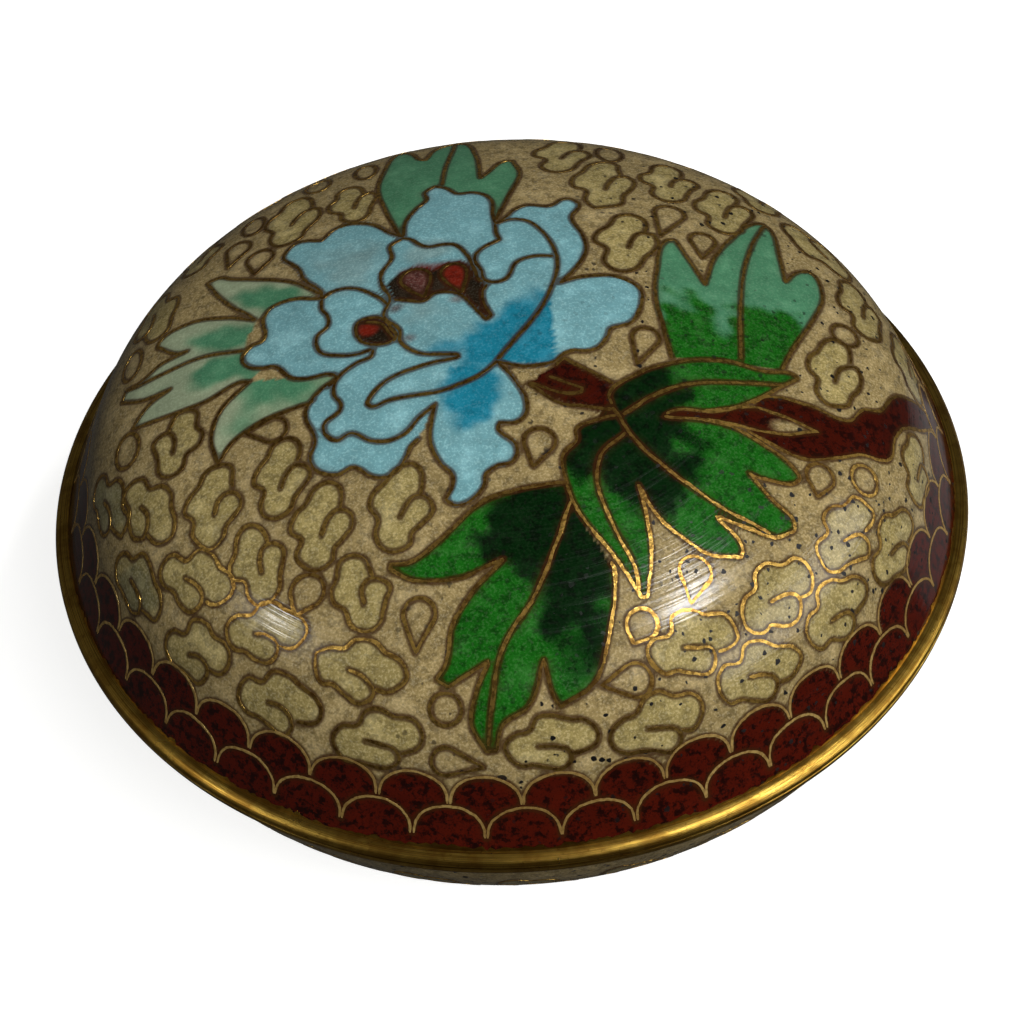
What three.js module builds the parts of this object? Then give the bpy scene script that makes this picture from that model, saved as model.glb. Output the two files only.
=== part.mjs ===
// A round cloisonne enamel box: a domed lid that lifts off a shallow bowl on a foot ring.
// Millimetres, +Z up. The origin is the centre of the foot ring's underside.
// Each half is a turned copper shell with a layer of enamel over it and a brass rim at its mouth.
// The bowl's rim carries a standing collar, and the lid drops over that collar.
import * as THREE from 'three';

// Driving dimensions in millimetres, and angles in degrees.
// A lean is measured from upright, and a slope from level.
const rimRadius = 38;

const enamelThickness = 0.9;
const copperThickness = 1.1;

const lidRimHeight = 0.7;
const lidRimLedge = 1.1;
const lidWallHeight = 6.2;
const lidWallLean = 24.6;
const lidShoulderRadius = 13.4;
const lidCrownSlope = 23.4;

const bowlRimHeight = 0.9;
const bowlRimBand = 0.35;
const bowlRimLedge = 1.1;
const bowlWallHeight = 2.1;
const bowlWallLean = 14;
const bowlShoulderRadius = 18;
const bowlBaseSlope = 15;

const collarHeight = 2.2;
const collarThickness = 0.8;
const collarLeadIn = 0.3;

const footRadius = 21;
const footWidth = 2.4;
const footFlare = 0.5;
const footProud = 1.8;
const footEdgeRound = 0.4;

// Clearances: the lid round its collar, the line between the two rims, and the solder and
// fused joints, which are only as wide as keeps two faceted solids apart.
const lidClearance = 0.3;
const partingGap = 0.1;
const jointGap = 0.02;

// Fineness of the turned solids.
const turnSegments = 44;
const crownSteps = 5;
const shoulderSteps = 4;
const beadSteps = 4;

const radians = THREE.MathUtils.degToRad;

// A turned wall, drawn with its rim plane at height 0 and its crown upwards: a crown arc centred
// on the axis, a shoulder arc tangent to it, and a straight side that leans in. Every curve that
// is set in from the outer one shares its arc centres, so a layer keeps its thickness all over.
class TurnedWall {
  constructor({ edgeRadius, rimHeight, wallHeight, wallLean, shoulderRadius, crownSlope }) {
    this.edgeRadius = edgeRadius;
    this.rimHeight = rimHeight;
    this.lean = radians(wallLean);
    this.wallSlope = Math.PI / 2 - this.lean;
    this.crownSlope = radians(crownSlope);
    this.shoulderRadius = shoulderRadius;
    const wallTopRadius = edgeRadius - wallHeight * Math.tan(this.lean);
    this.shoulderCentre = new THREE.Vector2(
      wallTopRadius - shoulderRadius * Math.sin(this.wallSlope),
      rimHeight + wallHeight - shoulderRadius * Math.cos(this.wallSlope),
    );
    const centreDistance = this.shoulderCentre.x / Math.sin(this.crownSlope);
    this.crownRadius = centreDistance + shoulderRadius;
    this.crownCentre = new THREE.Vector2(
      0,
      this.shoulderCentre.y - centreDistance * Math.cos(this.crownSlope),
    );
  }

  // The point of the curve where the surface has the given slope.
  pointAtSlope(slope, inset) {
    const onCrown = slope <= this.crownSlope;
    const centre = onCrown ? this.crownCentre : this.shoulderCentre;
    const radius = (onCrown ? this.crownRadius : this.shoulderRadius) - inset;
    return new THREE.Vector2(
      centre.x + radius * Math.sin(slope),
      centre.y + radius * Math.cos(slope),
    );
  }

  // The slope of the curve at a distance from the axis, on either arc.
  slopeAtRadius(radius, inset) {
    const crownReach = (this.crownRadius - inset) * Math.sin(this.crownSlope);
    if (radius <= crownReach) return Math.asin(radius / (this.crownRadius - inset));
    return Math.asin((radius - this.shoulderCentre.x) / (this.shoulderRadius - inset));
  }

  // The curve's distance from the axis at a height, on the straight side or on the shoulder.
  radiusAtHeight(height, inset) {
    const wallTop = this.pointAtSlope(this.wallSlope, inset);
    if (height <= wallTop.y) return wallTop.x + (wallTop.y - height) * Math.tan(this.lean);
    const rise = height - this.shoulderCentre.y;
    return this.shoulderCentre.x + Math.sqrt((this.shoulderRadius - inset) ** 2 - rise ** 2);
  }

  // The height of the curve's top on the axis.
  crownHeight(inset) {
    return this.pointAtSlope(0, inset).y;
  }

  // The curve from a distance off the axis, out over the crown and down to the rim.
  curve(inset, fromRadius = 0) {
    const startSlope = this.slopeAtRadius(fromRadius, inset);
    const slopes = [];
    if (startSlope < this.crownSlope) slopes.push(...spaced(startSlope, this.crownSlope, crownSteps));
    const shoulderStart = Math.max(startSlope, this.crownSlope);
    slopes.push(...spaced(shoulderStart, this.wallSlope, shoulderSteps), this.wallSlope);
    const points = slopes.map((slope) => this.pointAtSlope(slope, inset));
    points.push(new THREE.Vector2(this.radiusAtHeight(this.rimHeight, inset), this.rimHeight));
    return points;
  }

  // The section of a layer between two insets, from a distance off the axis to the rim.
  layer(outerInset, innerInset, fromRadius = 0) {
    return [...this.curve(outerInset, fromRadius), ...this.curve(innerInset, fromRadius).reverse()];
  }
}

// Evenly spaced values from start up to, and without, end.
function spaced(start, end, steps) {
  return Array.from({ length: steps }, (_, step) => start + ((end - start) * step) / steps);
}

// A quarter of an ellipse from (radius, 0) round to (radius - ledge, height), as on a rim's edge.
function quarterBead(radius, ledge, fromHeight, height) {
  return Array.from({ length: beadSteps + 1 }, (_, step) => {
    const turn = ((Math.PI / 2) * step) / beadSteps;
    return new THREE.Vector2(
      radius - ledge * (1 - Math.cos(turn)),
      fromHeight + (height - fromHeight) * Math.sin(turn),
    );
  });
}

// The same section with its heights turned over, for the half that hangs below its rim plane.
function turnedOver(section) {
  return section.map((point) => new THREE.Vector2(point.x, -point.y));
}

// Twice the area inside a section, positive where its points run anticlockwise.
function signedArea(section) {
  return section.reduce((sum, point, index) => {
    const next = section[(index + 1) % section.length];
    return sum + point.x * next.y - next.x * point.y;
  }, 0);
}

// Turns a section about the Z axis into a named solid. A section that starts and ends on the axis
// is left open there, and any other is closed on itself.
function turnedSolid(name, section, material) {
  const points = signedArea(section) > 0 ? [...section] : [...section].reverse();
  if (points[0].x > 0) points.push(points[0].clone());
  const geometry = new THREE.LatheGeometry(points, turnSegments);
  geometry.rotateX(Math.PI / 2);
  const mesh = new THREE.Mesh(geometry, material);
  mesh.name = name;
  return mesh;
}

const creamEnamel = new THREE.MeshStandardMaterial({ color: 0xb3a579, roughness: 0.25, metalness: 0 });
const blueEnamel = new THREE.MeshStandardMaterial({ color: 0x4f9fb8, roughness: 0.35, metalness: 0 });
const giltBrass = new THREE.MeshStandardMaterial({ color: 0xb98a3a, roughness: 0.35, metalness: 1 });

const lidForm = new TurnedWall({
  edgeRadius: rimRadius - lidRimLedge,
  rimHeight: lidRimHeight,
  wallHeight: lidWallHeight,
  wallLean: lidWallLean,
  shoulderRadius: lidShoulderRadius,
  crownSlope: lidCrownSlope,
});

const bowlForm = new TurnedWall({
  edgeRadius: rimRadius - bowlRimLedge,
  rimHeight: bowlRimHeight,
  wallHeight: bowlWallHeight,
  wallLean: bowlWallLean,
  shoulderRadius: bowlShoulderRadius,
  crownSlope: bowlBaseSlope,
});

const wallThickness = enamelThickness + copperThickness;
const shellInset = enamelThickness + jointGap;
const footBore = footRadius - footWidth / 2;
const footSeatRadius = footRadius + footWidth / 2;
const footOuterRadius = footSeatRadius + footFlare;
const bowlDepth = bowlForm.crownHeight(shellInset) + footProud;

// The lid, measured up from its own rim plane.
function buildLid() {
  const lid = new THREE.Group();
  lid.add(turnedSolid('lid_enamel', lidForm.layer(0, enamelThickness), creamEnamel));
  lid.add(turnedSolid('lid_shell', lidForm.layer(shellInset, wallThickness), blueEnamel));
  lid.add(turnedSolid('lid_rim', lidRimSection(), giltBrass));
  return lid;
}

// The lid's rim: a flat ring under the wall, with a rounded outer edge that stands past it.
function lidRimSection() {
  const top = lidRimHeight - jointGap;
  const boreRadius = lidForm.radiusAtHeight(lidRimHeight, wallThickness);
  return [
    new THREE.Vector2(boreRadius, 0),
    ...quarterBead(rimRadius, lidRimLedge, 0, top),
    new THREE.Vector2(boreRadius, top),
  ];
}

// The bowl, measured down from its own rim plane.
function buildBowl() {
  const bowl = new THREE.Group();
  const enamel = bowlForm.layer(0, enamelThickness, footOuterRadius + jointGap);
  bowl.add(turnedSolid('bowl_enamel', turnedOver(enamel), creamEnamel));
  bowl.add(turnedSolid('bowl_shell', turnedOver(bowlForm.layer(shellInset, wallThickness)), blueEnamel));
  bowl.add(turnedSolid('bowl_rim', turnedOver(bowlRimSection()), giltBrass));
  bowl.add(turnedSolid('foot_ring', turnedOver(footSection()), giltBrass));
  return bowl;
}

// The bowl's rim: a flange on the wall, with an upright edge band and the collar standing on it.
function bowlRimSection() {
  const bottom = bowlRimHeight - jointGap;
  const collarTopRadius = lidForm.radiusAtHeight(collarHeight, wallThickness) - lidClearance;
  const collarBore = collarTopRadius - collarThickness;
  return [
    new THREE.Vector2(collarBore, bottom),
    new THREE.Vector2(collarBore, -collarHeight),
    new THREE.Vector2(collarTopRadius - collarLeadIn, -collarHeight),
    new THREE.Vector2(collarTopRadius, -collarHeight + collarLeadIn),
    new THREE.Vector2(collarTopRadius, 0),
    new THREE.Vector2(rimRadius, 0),
    ...quarterBead(rimRadius, bowlRimLedge, bowlRimBand, bottom),
  ];
}

// The foot ring: its top follows the shell, and its outer side flares to a flat underside.
function footSection() {
  const seat = [footSeatRadius, footRadius, footBore].map((radius) => {
    const slope = bowlForm.slopeAtRadius(radius, shellInset);
    return bowlForm.pointAtSlope(slope, shellInset - jointGap);
  });
  return [
    ...seat,
    new THREE.Vector2(footBore, bowlDepth - footEdgeRound),
    new THREE.Vector2(footBore + footEdgeRound, bowlDepth),
    new THREE.Vector2(footOuterRadius - footEdgeRound, bowlDepth),
    new THREE.Vector2(footOuterRadius, bowlDepth - footEdgeRound),
  ];
}

const box = new THREE.Group();
const bowl = buildBowl();
bowl.position.z = bowlDepth;
const lid = buildLid();
lid.position.z = bowlDepth + partingGap;
box.add(bowl, lid);

export default box;
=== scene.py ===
"""A round cloisonne enamel box with a peony spray on its domed lid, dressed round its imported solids."""
import logging
import math
from dataclasses import dataclass
from enum import Enum

import bpy
import numpy as np
from mathutils import Matrix, Vector


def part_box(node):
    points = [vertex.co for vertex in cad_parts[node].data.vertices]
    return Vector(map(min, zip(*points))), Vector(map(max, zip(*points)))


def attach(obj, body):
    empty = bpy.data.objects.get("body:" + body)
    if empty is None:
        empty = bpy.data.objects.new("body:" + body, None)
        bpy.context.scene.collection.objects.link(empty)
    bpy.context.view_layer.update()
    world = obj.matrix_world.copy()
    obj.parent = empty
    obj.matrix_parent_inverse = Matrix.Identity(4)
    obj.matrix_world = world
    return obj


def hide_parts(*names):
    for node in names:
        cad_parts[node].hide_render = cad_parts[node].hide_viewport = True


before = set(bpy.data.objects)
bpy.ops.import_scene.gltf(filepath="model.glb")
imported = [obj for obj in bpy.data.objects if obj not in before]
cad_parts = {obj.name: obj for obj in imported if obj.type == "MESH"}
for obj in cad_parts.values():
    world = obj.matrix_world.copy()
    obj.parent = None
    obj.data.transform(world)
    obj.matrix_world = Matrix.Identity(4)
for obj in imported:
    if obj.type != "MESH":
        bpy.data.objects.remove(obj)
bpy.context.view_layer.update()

Path = np.ndarray
Colour = tuple[float, float, float]
# Where a value starts to show, where it shows fully, and how strongly.
Band = tuple[float, float, float]
log = logging.getLogger("enamel_box")

MM = 0.001
SEED = 7
# The line between the two rims, in millimetres.
PARTING_GAP = 0.1
# Spacing of the points along a bent wire, in millimetres.
PATH_STEP = 0.2

# The drawing, in millimetres on the lid unrolled from its crown: +x to the right, -y to the front.
# Each list is one bent wire, which turns sharply where its points do.
PEONY_EDGES = (
    ((-7.25, 11.9), (-7.1, 14), (-6.25, 16), (-5.3, 17.5), (-5.45, 18.75), (-4.6, 19.85), (-3.6, 19.2),
     (-2.6, 17.9), (-1.5, 17.9), (-0.5, 17.4), (0.1, 16.3), (0.2, 13.8), (0.3, 12.4)),
    ((0.3, 12.4), (1.3, 13.4), (2, 14.4), (3, 15.1), (5, 14.9), (6.1, 16), (6.75, 16.1), (7.4, 15.2),
     (6.6, 13), (7.4, 10.2), (7.55, 8.75), (7.1, 7), (6.25, 5.5), (5.1, 4)),
    ((5.1, 4), (7, 4.75), (9.5, 4.95), (10.75, 4.4), (11.5, 3.4), (11.45, 2), (10.9, 0.25), (10.2, -0.6),
     (8.7, -1.25), (8.4, -2.1), (7.75, -3.1), (6.75, -3.65), (5.6, -3.65), (4.9, -3.95), (4.1, -4.75),
     (3, -5), (1.5, -5), (-0.25, -4.4)),
    ((-0.25, -4.4), (0.9, -6.25), (1.7, -8.5), (1.5, -9.75), (0.9, -10.3), (-0.4, -10.3), (-0.55, -10.9),
     (0.6, -12.25), (0.75, -13.1), (0.25, -13.9), (-0.75, -14.1), (-1.7, -14.75), (-1.9, -15.75),
     (-3.1, -16.9), (-4.1, -17.1), (-4.9, -16.6), (-4.2, -15.2), (-4.25, -14.4), (-5, -13.5),
     (-5.75, -11.25), (-5.4, -8.75), (-5.2, -8)),
    ((-6.6, -11), (-7.25, -11.6), (-7.75, -12.6), (-8.5, -13.6), (-9.5, -13.95), (-10.5, -13.6),
     (-11.25, -12.9), (-11.9, -12.6), (-12.9, -13), (-14, -12.75), (-14.9, -11.9), (-15.1, -10.75),
     (-14.75, -9.9), (-14.75, -9), (-15.4, -6.9), (-15, -5.75), (-14, -4.6), (-12.7, -3.9)),
    ((-12.7, -3.9), (-13.1, -3.4), (-15.25, -3.25), (-16.4, -2.9), (-17.9, -1.1), (-19, -0.9), (-20, -0.4),
     (-20.6, 0.4), (-20.6, 1.25), (-20, 1.9), (-19, 2.2), (-18.8, 2.75), (-19, 5), (-18.5, 5.9),
     (-17.4, 6.3), (-16, 6.25), (-14.75, 5.75), (-14.05, 5.55)),
    ((-14.05, 5.55), (-14.1, 6.4), (-15.6, 8.75), (-16.1, 10.25), (-16.9, 11.5), (-17.5, 12.4),
     (-17.4, 13.25), (-16.75, 14.25), (-16, 14.45), (-14.25, 13.8), (-13.1, 15.25), (-12.1, 15.5),
     (-11, 15.25), (-9.75, 14.5), (-8, 12.4), (-7.25, 11.9)),
)
PEONY_FOLDS = (
    ((-5.2, -8), (-6.5, -9), (-7.6, -10.25), (-9, -10.8), (-10.25, -10.55), (-11.9, -9.5), (-12.9, -9.9),
     (-13.75, -9.25), (-13.9, -8.25), (-12.6, -7.1), (-12.6, -6.4), (-13.1, -5.5), (-12.9, -4.1),
     (-11.25, -2.75), (-10, -2.25), (-9.9, -1.6)),
    ((-14.05, 5.5), (-13.4, 6), (-12.25, 6.2), (-11, 5.75), (-9.1, 3.9), (-8.7, 3.2)),
    ((-14.05, 5.4), (-14.05, 4.25), (-13.5, 3), (-13.5, 2), (-14.4, 1.1), (-14.5, 0.1), (-14, -0.9),
     (-12.75, -1.5), (-11.25, -1.75), (-10, -1.55)),
    ((-7.4, 11.7), (-8.4, 10.9), (-8.2, 9.1), (-9.1, 7.2), (-9.1, 5.8), (-8.45, 3.8), (-8.9, 2),
     (-7.7, 0), (-7.7, -1.1), (-6.3, -2.7), (-4.5, -3.1), (-3.3, -3.3), (-3.2, -3.6), (-5.75, -4),
     (-9, -5.1), (-10.1, -6.25), (-10.5, -7), (-10.1, -7.4), (-8.75, -7), (-4.75, -6.75), (-3, -6.25),
     (-1.5, -5.5), (-0.25, -4.3)),
    ((-7.4, 11.7), (-6.8, 11.45), (-5.9, 10.3), (-5.2, 9.9), (-4.1, 10), (-3.1, 9.8), (-2.1, 8.2),
     (-1.55, 6.1), (-1.3, 4.9), (-0.95, 4.6)),
    ((0.3, 12.3), (0.35, 10.9), (0.6, 10), (-1, 8.8), (-1.45, 8), (-1.45, 7.2), (-1.05, 6), (-0.8, 4.8),
     (0.1, 4.45), (0.9, 4.8), (1.8, 6.8), (3.2, 7.5), (4.8, 7.45)),
    ((0.4, 12.4), (1.25, 12.8), (2, 12.9), (3, 12.5), (3.9, 11.25), (4.6, 9.75), (5, 8), (5.05, 6.25),
     (4.25, 3), (2.75, 0), (0.6, -3), (-0.25, -4.2)),
    ((-0.65, 4.2), (-1, 3.55), (-1, 2.2), (-0.45, 0.55), (-0.9, 0.15), (-1.8, 1.7), (-3, 3.45),
     (-3.9, 3.8), (-4.8, 3.8), (-5.8, 3), (-6.6, 3.2), (-8.1, 3.7)),
)
HEART_POCKET = ((-8.7, 5.6), (-8, 6.6), (-6.9, 7.3), (-5.6, 7.3), (-4.9, 6.7), (-4.1, 7.3), (-2.6, 7.5),
                (-2, 6.8), (-1.5, 5.5), (-0.9, 4.4), (-1.1, 3), (-0.6, 0.6), (-0.9, 0.2), (-1.5, 1),
                (-3, 3.4), (-4.8, 3.8), (-5.8, 3), (-6.6, 3.2), (-8.1, 3.7), (-8.5, 4.4))
STAMEN_RIGHT = ((-2.7, 3.5), (-3.9, 4.9), (-4.3, 5.9), (-4, 6.9), (-3.2, 7.25), (-2.5, 6.9), (-2.2, 5.8),
                (-2.7, 3.5))
STAMEN_LEFT = ((-5.7, 3.4), (-7.1, 4.9), (-7.55, 5.8), (-7.2, 6.7), (-6.45, 7.05), (-5.6, 6.7), (-5.2, 5.8),
               (-5.7, 3.4))
STAMEN_LOW = ((-8.3, -1), (-9.1, -1.2), (-10.2, -0.9), (-10.9, -0.3), (-11.3, 0.9), (-11.1, 1.7),
              (-10.2, 2.05), (-9.2, 1.8), (-8.5, 0.65), (-8, -0.55), (-8.3, -1))
STAMEN_LOW_FOLD = ((-10.4, 1.6), (-9.3, 1.2), (-8.6, 0), (-8.2, -0.7))
LEAF_BACK = ((-7.6, 12.2), (-8.8, 16.65), (-9.55, 21.1), (-9, 25.3), (-8.3, 29), (-7.9, 30.1),
             (-7.15, 29.35), (-6.5, 28), (-5.9, 26.4), (-5.4, 26.1), (-4.5, 28.8), (-2.7, 30.7),
             (-1.8, 29.7), (-0.9, 25.7), (-0.7, 20.5), (0, 21.65), (1.5, 24), (2.2, 24.05),
             (2.75, 21.1), (1.9, 17.8), (0.45, 13))
LEAF_BACK_VEIN = ((-4, 19.9), (-3.6, 23.8), (-2.9, 28.2), (-2.7, 30.7))
LEAF_LEFT_TOP = ((-14.2, 6.2), (-16.7, 8.75), (-20.4, 10.85), (-22.1, 11.8), (-23.3, 12.7), (-24.5, 12.6),
                 (-23.75, 10.85), (-21.7, 7.5), (-20.4, 5.95), (-19.7, 5))
LEAF_LEFT_UPPER = ((-19.7, 5), (-22.3, 6.45), (-25.6, 7.5), (-28.55, 6.75), (-28.75, 6.05), (-26.65, 4.15),
                   (-25.6, 3.95), (-28.1, 3.55), (-30.2, 2.6), (-31.9, 2.8), (-30.2, 2.25), (-24.2, 2.55),
                   (-20.6, 1.7))
LEAF_LEFT_LOWER = ((-31.9, 2.7), (-32.3, 1.65), (-29.6, 0.15), (-27, 0.15), (-29.4, -0.95), (-30.7, -2.4),
                   (-29.6, -2.65), (-25.6, -2.8), (-23.75, -2.65), (-20.85, -1.75), (-20, -2))
LEAF_LEFT_LOWER_CELL = ((-31.9, 2.8), (-30.2, 2.4), (-24.2, 2.55), (-20.6, 1.7), (-18, 0), (-20, -2),
                        (-20.85, -1.75), (-23.75, -2.65), (-29.6, -2.65), (-30.7, -2.4), (-29.4, -0.95),
                        (-27, 0.15), (-29.6, 0.15), (-32.3, 1.65))
LEAF_LEFT_FRONT = ((-20, -2), (-22.5, -4.2), (-23.3, -6.9), (-22.7, -9.3), (-21.45, -7.7), (-18.95, -6.45),
                   (-15.8, -5.85), (-15, -5.75), (-12.7, -3.65))
LEAF_RIGHT = ((22.3, -4), (23.3, -1.95), (25.4, 1.8), (27.1, 5.55), (27, 8.45), (26.45, 9.1), (25.4, 8.65),
              (24, 6.8), (24, 10.35), (23.85, 14.5), (23.35, 15.35), (22.5, 15.1), (20, 11.7), (18.1, 8.45),
              (16.9, 4.7), (16.25, 6.6), (15, 10.4), (14.4, 10.25), (13.1, 6.15), (12.6, 2.4), (12.8, -0.1),
              (13.3, -4.15))
LEAF_RIGHT_VEIN = ((18.95, -3.5), (19.5, 1.8), (20.4, 7), (22.1, 12.2), (23.4, 15))
LEAF_SIDE = ((8.25, -8.9), (8.15, -7.9), (10.3, -5.95), (13.7, -4.45), (17.4, -3.9), (20.75, -4.45),
             (23.1, -4.3), (23.5, -4.7), (22, -5.85), (19.5, -7.7), (16.4, -9.1), (13.25, -9.25),
             (12.4, -9.7))
LEAF_SIDE_VEIN = ((9, -9.8), (11.8, -7.85), (14.9, -6.5), (19.1, -5.95), (22.2, -5.65))
LEAF_FRONT = ((12.2, -9.95), (17, -10.3), (19.5, -11.5), (22.5, -14.05), (22.6, -14.5), (22, -15),
              (19.5, -14.9), (18.4, -14.45), (20.1, -16.6), (21.7, -18.25), (21.75, -19.1), (20.1, -19.8),
              (17.6, -19.2), (15.6, -18.5), (17.4, -21.05), (17.2, -21.75), (14.7, -21.6), (12.6, -20.3),
              (10.75, -18.35), (9.7, -16), (10.1, -18.2), (10.3, -21.9), (9.8, -25.05), (9.35, -25.15),
              (7.5, -22), (5, -18.2), (4.35, -16.1), (4.2, -13.45), (5.4, -12.1), (5.4, -11.2),
              (7, -10.3), (8.5, -10))
LEAF_FRONT_VEINS = (
    ((8.25, -9.2), (9.7, -12), (12.4, -15), (16, -17.7), (19.7, -19.6)),
    ((9.1, -11.5), (7.1, -13.35), (6.6, -15.75), (7.5, -19.3), (9, -22.8), (9.15, -24.6)),
)
FORK_DARK = ((8.2, -8.7), (12.6, -9.5), (12.6, -10.1), (8.5, -10.3), (7, -10.5), (7.6, -9.2))
FORK_BARK = ((12.3, -9.3), (16.3, -8.9), (16.3, -10.4), (12.2, -10.2))
LEAF_LOW = ((4.3, -15.8), (0.9, -16.2), (-2.2, -17.1), (-5.75, -20.05), (-7.8, -21.25), (-9.3, -21.2),
            (-9.4, -21.7), (-7.6, -22.75), (-4.3, -23), (-0.75, -21.75), (-3.45, -24.3), (-5, -26.7),
            (-5.65, -29.4), (-6.5, -30.4), (-5.65, -31.1), (-2.5, -29.5), (-3.55, -31.5), (-4.2, -34),
            (-3.25, -36.1), (-2.4, -36.1), (-1.8, -34.2), (0.3, -32.95), (1.65, -29.6), (2.15, -32.1),
            (2.7, -33.15), (5.3, -31.6), (6.65, -27.95), (7.4, -22.95), (7.15, -22.4))
LEAF_LOW_SIDE = ((7.15, -22.4), (5, -18.2), (4.35, -16.1))
LEAF_LOW_VEIN = ((4.55, -17.4), (2.7, -21.9), (0.9, -25.45), (-1.25, -28.4), (-2.75, -33.8),
                 (-3.05, -35.65))
BRANCH_RIGHT_TOP = ((19.45, -8), (20.55, -7.15), (24.2, -7.3), (27.35, -8.1), (28.9, -6.6), (30.8, -5.9),
                    (32.65, -3.5), (35.8, -2.1), (39.2, -0.8))
BRANCH_RIGHT_LOW = ((39.6, -2.2), (36.9, -4.5), (33.3, -6.45), (32.2, -7.8), (31.1, -10.6), (28.3, -11.1),
                    (25, -12.3), (23.3, -12.55), (20.5, -11.7), (18.6, -10.6))
BRANCH_KNOT = ((15.5, -9.2), (19.45, -8.35), (21.1, -8.65), (24.6, -9.8), (21.1, -10.6), (17.8, -10.2),
               (15.5, -9.9))
BRANCH_LEFT_TOP = ((4.2, -5.05), (4.85, -4.35), (5.8, -5.05), (7.2, -6), (8.5, -6.9))
BRANCH_LEFT_LOW = ((8.2, -9.4), (6.1, -9.2), (4.2, -8.65), (1.95, -6.7))
BRANCH_TWIG = ((2.1, -6.7), (5, -7.85), (6, -7.7), (6.1, -7.3), (3.6, -6.15))

# One scrolled cloud along and across its length, both from -1 to 1, from the inner end of its curl.
CLOUD_WIRE = ((-0.22, -0.2), (0.1, -0.09), (0.41, -0.16), (0.54, -0.48), (0.36, -0.88), (0, -0.92),
              (-0.32, -0.89), (-0.6, -1), (-0.89, -0.78), (-1, -0.36), (-0.85, 0.08), (-0.5, 0.3),
              (-0.4, 0.78), (-0.05, 0.99), (0.28, 0.9), (0.68, 0.96), (0.96, 0.65), (0.98, 0.22),
              (0.76, -0.09), (0.54, -0.22))
# How many of its points lie in the curl, inside the outline that its glaze fills.
CLOUD_CURL_POINTS = 3
# Where the clouds lie: centre x and y, half length, half width, and turn in degrees.
CLOUDS = (
    (13.1, -28.5, 3.6, 2.4, 0), (18.9, -30.35, 3.85, 2.45, 0), (10.5, -34.6, 3.75, 2.45, -2),
    (1.9, -35.8, 3.6, 2.15, -11.5), (-11.9, -34.2, 3.75, 2.45, -24.5), (-12.4, -28.8, 3.5, 2.3, -41),
    (-19.6, -30, 3.7, 2.4, -45), (-19.6, -24.5, 3.4, 2.3, -36), (-26.4, -24.3, 3.55, 2.4, -48),
    (-25.2, -18.8, 3.6, 2.3, -55), (-31.6, -16.8, 3.7, 2.3, -75), (-29.2, -11.3, 3.65, 2.4, -80),
    (-33.9, -8.3, 3.9, 2.2, -78), (20.1, -24.3, 3.6, 2.45, 18), (25.9, -24.7, 3.7, 2.4, 21.5),
    (26.4, -18.4, 3.6, 2.4, 31), (32.1, -17.7, 3.8, 2.5, 37.5), (26.9, -3.2, 3.7, 2.4, 56.5),
    (30.9, 6.1, 3.7, 2.4, 71.5), (36.1, 2.4, 3.8, 2.4, 75), (10.9, 9.7, 4, 2.6, 56),
    (19.9, 16.4, 3.9, 2.5, 63), (15.6, 20.5, 3.7, 2.45, 61.5), (9.8, 19.2, 4.4, 2.6, 64),
    (6.6, 25.3, 3.9, 2.5, 58), (-17.1, 18.8, 4, 2.6, 59), (-17.5, -12.2, 3.3, 2.3, 53.5),
    (-23.2, -13.1, 3.4, 2.5, 52), (-14.5, -17.1, 3.4, 2.4, 51), (-8.3, -16.7, 3.35, 2.5, 47.5),
    (28.3, 13.8, 3.9, 2.5, 110), (24, 21.3, 3.2, 2.5, 60), (-26, 18.7, 3, 2.2, 60),
    (-29.6, 11.2, 3.9, 2.4, -100), (-11.8, -23.2, 2.85, 2.4, 70), (-19.7, -19.1, 3.1, 2.3, 75),
    (35.1, -9.6, 3.2, 2.4, 60), (-11.7, 19.2, 3.2, 2.1, 75), (-26.3, -6, 3, -2.2, 100),
)
# Clouds, by place in that list, that are laid with a darker, greyer glaze.
GREY_CLOUDS = (10, 12)
# Drops between the clouds: round centre, radius, and point.
DROPS = (
    (-18, -7.6, 1.1, -20.4, -7.2), (-15.8, -22.2, 1.35, -16.9, -23.9), (-7.4, -25.4, 1.2, -7.9, -28.3),
    (-6.6, -36.6, 1.15, -3.6, -37.3), (8.6, -31.3, 1.25, 5.85, -31.7), (9.2, -27.2, 1.2, 8.5, -28.7),
    (13.6, -23.1, 1.25, 13, -25.6), (24.3, -14, 1.15, 23.9, -15.9), (15, 14.5, 1.3, 13.8, 10.8),
    (17.4, 10.8, 1.1, 17.1, 8.2), (11.4, -2.1, 1.1, 10.5, -5), (2.5, -12.2, 1.2, 1.9, -14.4),
    (-19.7, 13.7, 1.2, -20.1, 11.4), (-21.9, 16.5, 1.15, -22.7, 13.8),
)
# Small rings: centre, half width and half height.
RINGS = (
    (-31.3, -4.4, 1.3, 1.7), (-6, -32.6, 1.2, 1.2), (28.4, -13.3, 1.25, 1.25), (28.5, 1.5, 1.2, 1.2),
    (10.9, 26, 1.15, 1.9), (-10.8, 25.7, 1, 1.7), (-15.2, 25, 1.2, 1.5), (-20.8, 20.1, 1.05, 1.7),
    (-31.5, 5.8, 1.1, 1.9),
)


@dataclass(frozen=True)
class GlazeMix:
    """A fired glaze: its colour, and how strongly it shows dark frit, pale frit and pits, from 0 to 1."""

    colour: Colour
    dark_frit: float = 0.2
    pale_frit: float = 0.2
    pitting: float = 0.5


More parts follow.
